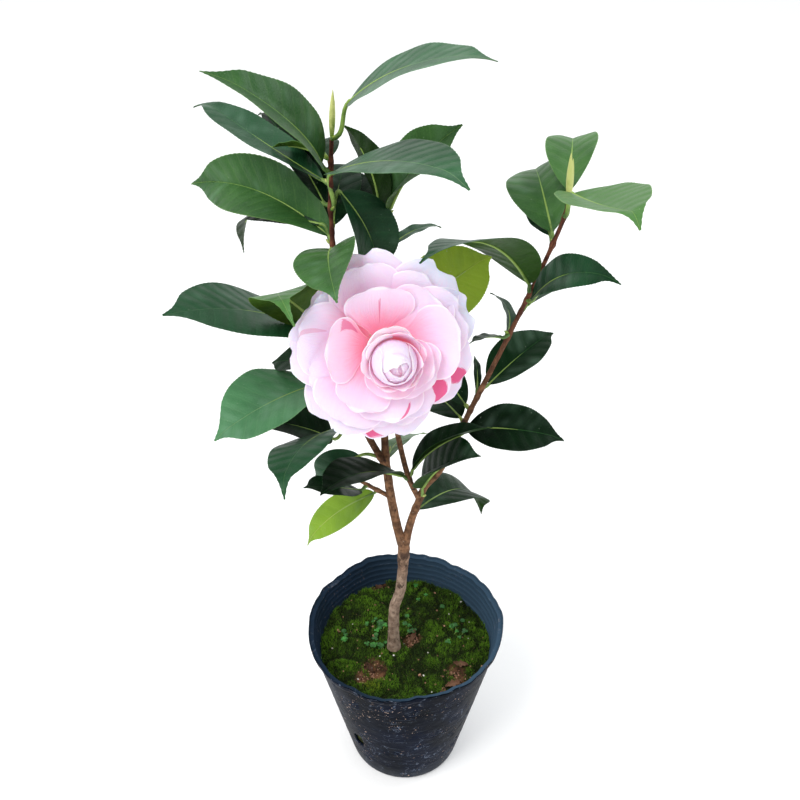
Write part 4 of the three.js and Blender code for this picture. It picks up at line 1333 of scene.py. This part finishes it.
# Where bits of dead leaf lie.
LEAF_BITS = [(26, -44), (17, -49), (33, -38), (-21, 59), (-25, -22), (39, -22), (6, 4)]


def make_litter():
    """Perlite grains, clay crumbs and bits of dead leaf on the moss."""
    dice = np.random.default_rng(9)
    build = Build("litter")
    for number in range(CRUMBS):
        r, a = SOIL_EDGE * math.sqrt(dice.random()) * LITTER_SHARE, dice.random() * 2 * math.pi
        x, y = r * math.cos(a), r * math.sin(a)
        in_bare = number % 3 > 0
        if in_bare:
            px, py, radius = BARE_PATCHES[int(dice.random() * len(BARE_PATCHES))]
            x, y = px + dice.normal() * radius * 0.5, py + dice.normal() * radius * 0.5
            if math.hypot(x, y) > SOIL_EDGE * LITTER_SHARE:
                continue
        pale = dice.random() < (0.05 if in_bare else 0.18)
        size = 0.4 + 0.5 * dice.random() + (0.6 if dice.random() < 0.08 else 0)
        centre = np.array([x, y, ground(x, y) + (0.2 if in_bare else 1.0)])
        lump(build, centre, size, dice, 0 if pale else 1)
    for x, y in LEAF_BITS:
        s, v = sheet_axes(9, 7)
        half = (1.2 + 1.6 * dice.random()) * np.clip(1 - np.abs(2 * s - 1)**1.3, 0.06, 1)
        half = half * (1 + 0.35 * np.sin(s * 23 + v * 3))
        long = 6 + 6 * dice.random()
        turn = dice.random() * 360
        ahead, aside = heading(turn, 12), heading(turn + 90, 0)
        curl = v**2 * 1.6 + 0.5 * np.sin(s * 7)
        grid = sheet(np.array([x, y, ground(x, y) + 1.6]), (ahead, (s - 0.5) * long), (aside, v * half),
                     (UP, curl))
        inside = np.hypot(grid[..., 0], grid[..., 1]).max()
        if inside > SOIL_EDGE:
            grid[..., :2] *= SOIL_EDGE / inside
        points, front, back, rim = shell(grid, 0.3)
        build.add(points, [front, back, rim], 2, moss=[0, 0, dice.random()])
    made = build.object([grit_finish("grain", "b9b0a4", "f1eee6"),
                         grit_finish("clay", "4a2f20", "b98a70"),
                         grit_finish("dead_leaf", "2c1a12", "7d5a44")], 45)
    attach(made, "root")
    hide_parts("soil")


def make_seedlings():
    """Low clover-like seedlings by the trunk's foot and a few sprouts further out."""
    dice = random.Random(21)
    build = Build("seedlings")
    places = [(px, py, radius) for px, py, radius, many in SPROUTS for _ in range(many)]
    for number, (px, py, radius) in enumerate(places):
        a, r = dice.uniform(0, 6.28), radius * math.sqrt(dice.random())
        x, y = px + r * math.cos(a), py + r * math.sin(a)
        foot = np.array([x, y, ground(x, y)])
        lean = heading(dice.uniform(0, 360), 55)
        top = foot + lean * dice.uniform(2.5, 5)
        tube(build, bezier(foot, foot + [0, 0, 1.5], top - [0, 0, 0.5], top, 6), 0.28, 5, 1)
        leaves = dice.choice([3, 4, 5])
        size = dice.uniform(1.5, 2.7)
        for k in range(leaves):
            turn = 360 / leaves * k + number * 37
            ahead, aside = heading(turn, 12), heading(turn + 90, 0)
            s, v = sheet_axes(8, 5)
            half = size * 0.48 * np.maximum(np.sin(np.pi * s**1.3), 0.03)**0.6
            up = np.abs(v) * half * 0.3 + 0.9 * s * (1 - s)
            grid = sheet(top, (ahead, s * size), (aside, v * half), (UP, up))
            points, front, back, rim = shell(grid, 0.2)
            build.add(points, [front, back, rim], 0)
    made = build.object([green_wood_finish("seedling_leaf", "174a10", "3c8a2a"),
                         green_wood_finish("seedling_stalk", "5f7a35", "8fae5a")], 50)
    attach(made, "root")
    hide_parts("soil")


make_soil()
make_moss()
make_litter()
make_seedlings()


# ---------------------------------------------------------------- floor and light
def plane(name, half, centre, material):
    mesh = bpy.data.meshes.new(name)
    corners = [(-half, -half, 0), (half, -half, 0), (half, half, 0), (-half, half, 0)]
    mesh.from_pydata(corners, [], [(0, 1, 2, 3)])
    mesh.materials.append(material)
    made = bpy.data.objects.new(name, mesh)
    made.location = centre
    bpy.context.scene.collection.objects.link(made)
    return made


# In metres, a hair below the pot's foot.
plane("floor", 12, (0, 0, -0.0005), floor_finish())


def area_light(name, at, size, power, tint):
    light = bpy.data.lights.new(name, "AREA")
    light.shape, light.size, light.energy, light.color = "DISK", size, power, tint
    made = bpy.data.objects.new(name, light)
    made.location = at
    aim = Vector((0, 0, 0.3)) - Vector(at)
    made.rotation_euler = aim.to_track_quat("-Z", "Y").to_euler()
    bpy.context.scene.collection.objects.link(made)


area_light("key", (-0.9, -0.8, 1.9), 1.1, 26, (1.0, 0.99, 0.97))
area_light("fill", (1.3, 0.6, 1.6), 1.2, 10, (0.95, 0.98, 1.0))

world = bpy.data.worlds.new("studio")
bpy.context.scene.world = world
world.use_nodes = True
sky = world.node_tree
backdrop = sky.nodes["Background"]
towards = sky.nodes.new("ShaderNodeTexCoord")
split = sky.nodes.new("ShaderNodeSeparateXYZ")
fade = sky.nodes.new("ShaderNodeMapRange")
blend = sky.nodes.new("ShaderNodeMix")
blend.data_type = "RGBA"
blend.inputs[6].default_value = (1.0, 1.0, 1.0, 1)
blend.inputs[7].default_value = (0.96, 0.98, 1.0, 1)
sky.links.new(towards.outputs["Generated"], split.inputs[0])
sky.links.new(split.outputs[2], fade.inputs[0])
sky.links.new(fade.outputs[0], blend.inputs[0])
sky.links.new(blend.outputs[2], backdrop.inputs[0])
backdrop.inputs[1].default_value = 1.0
bpy.context.scene.view_settings.view_transform = "Standard"
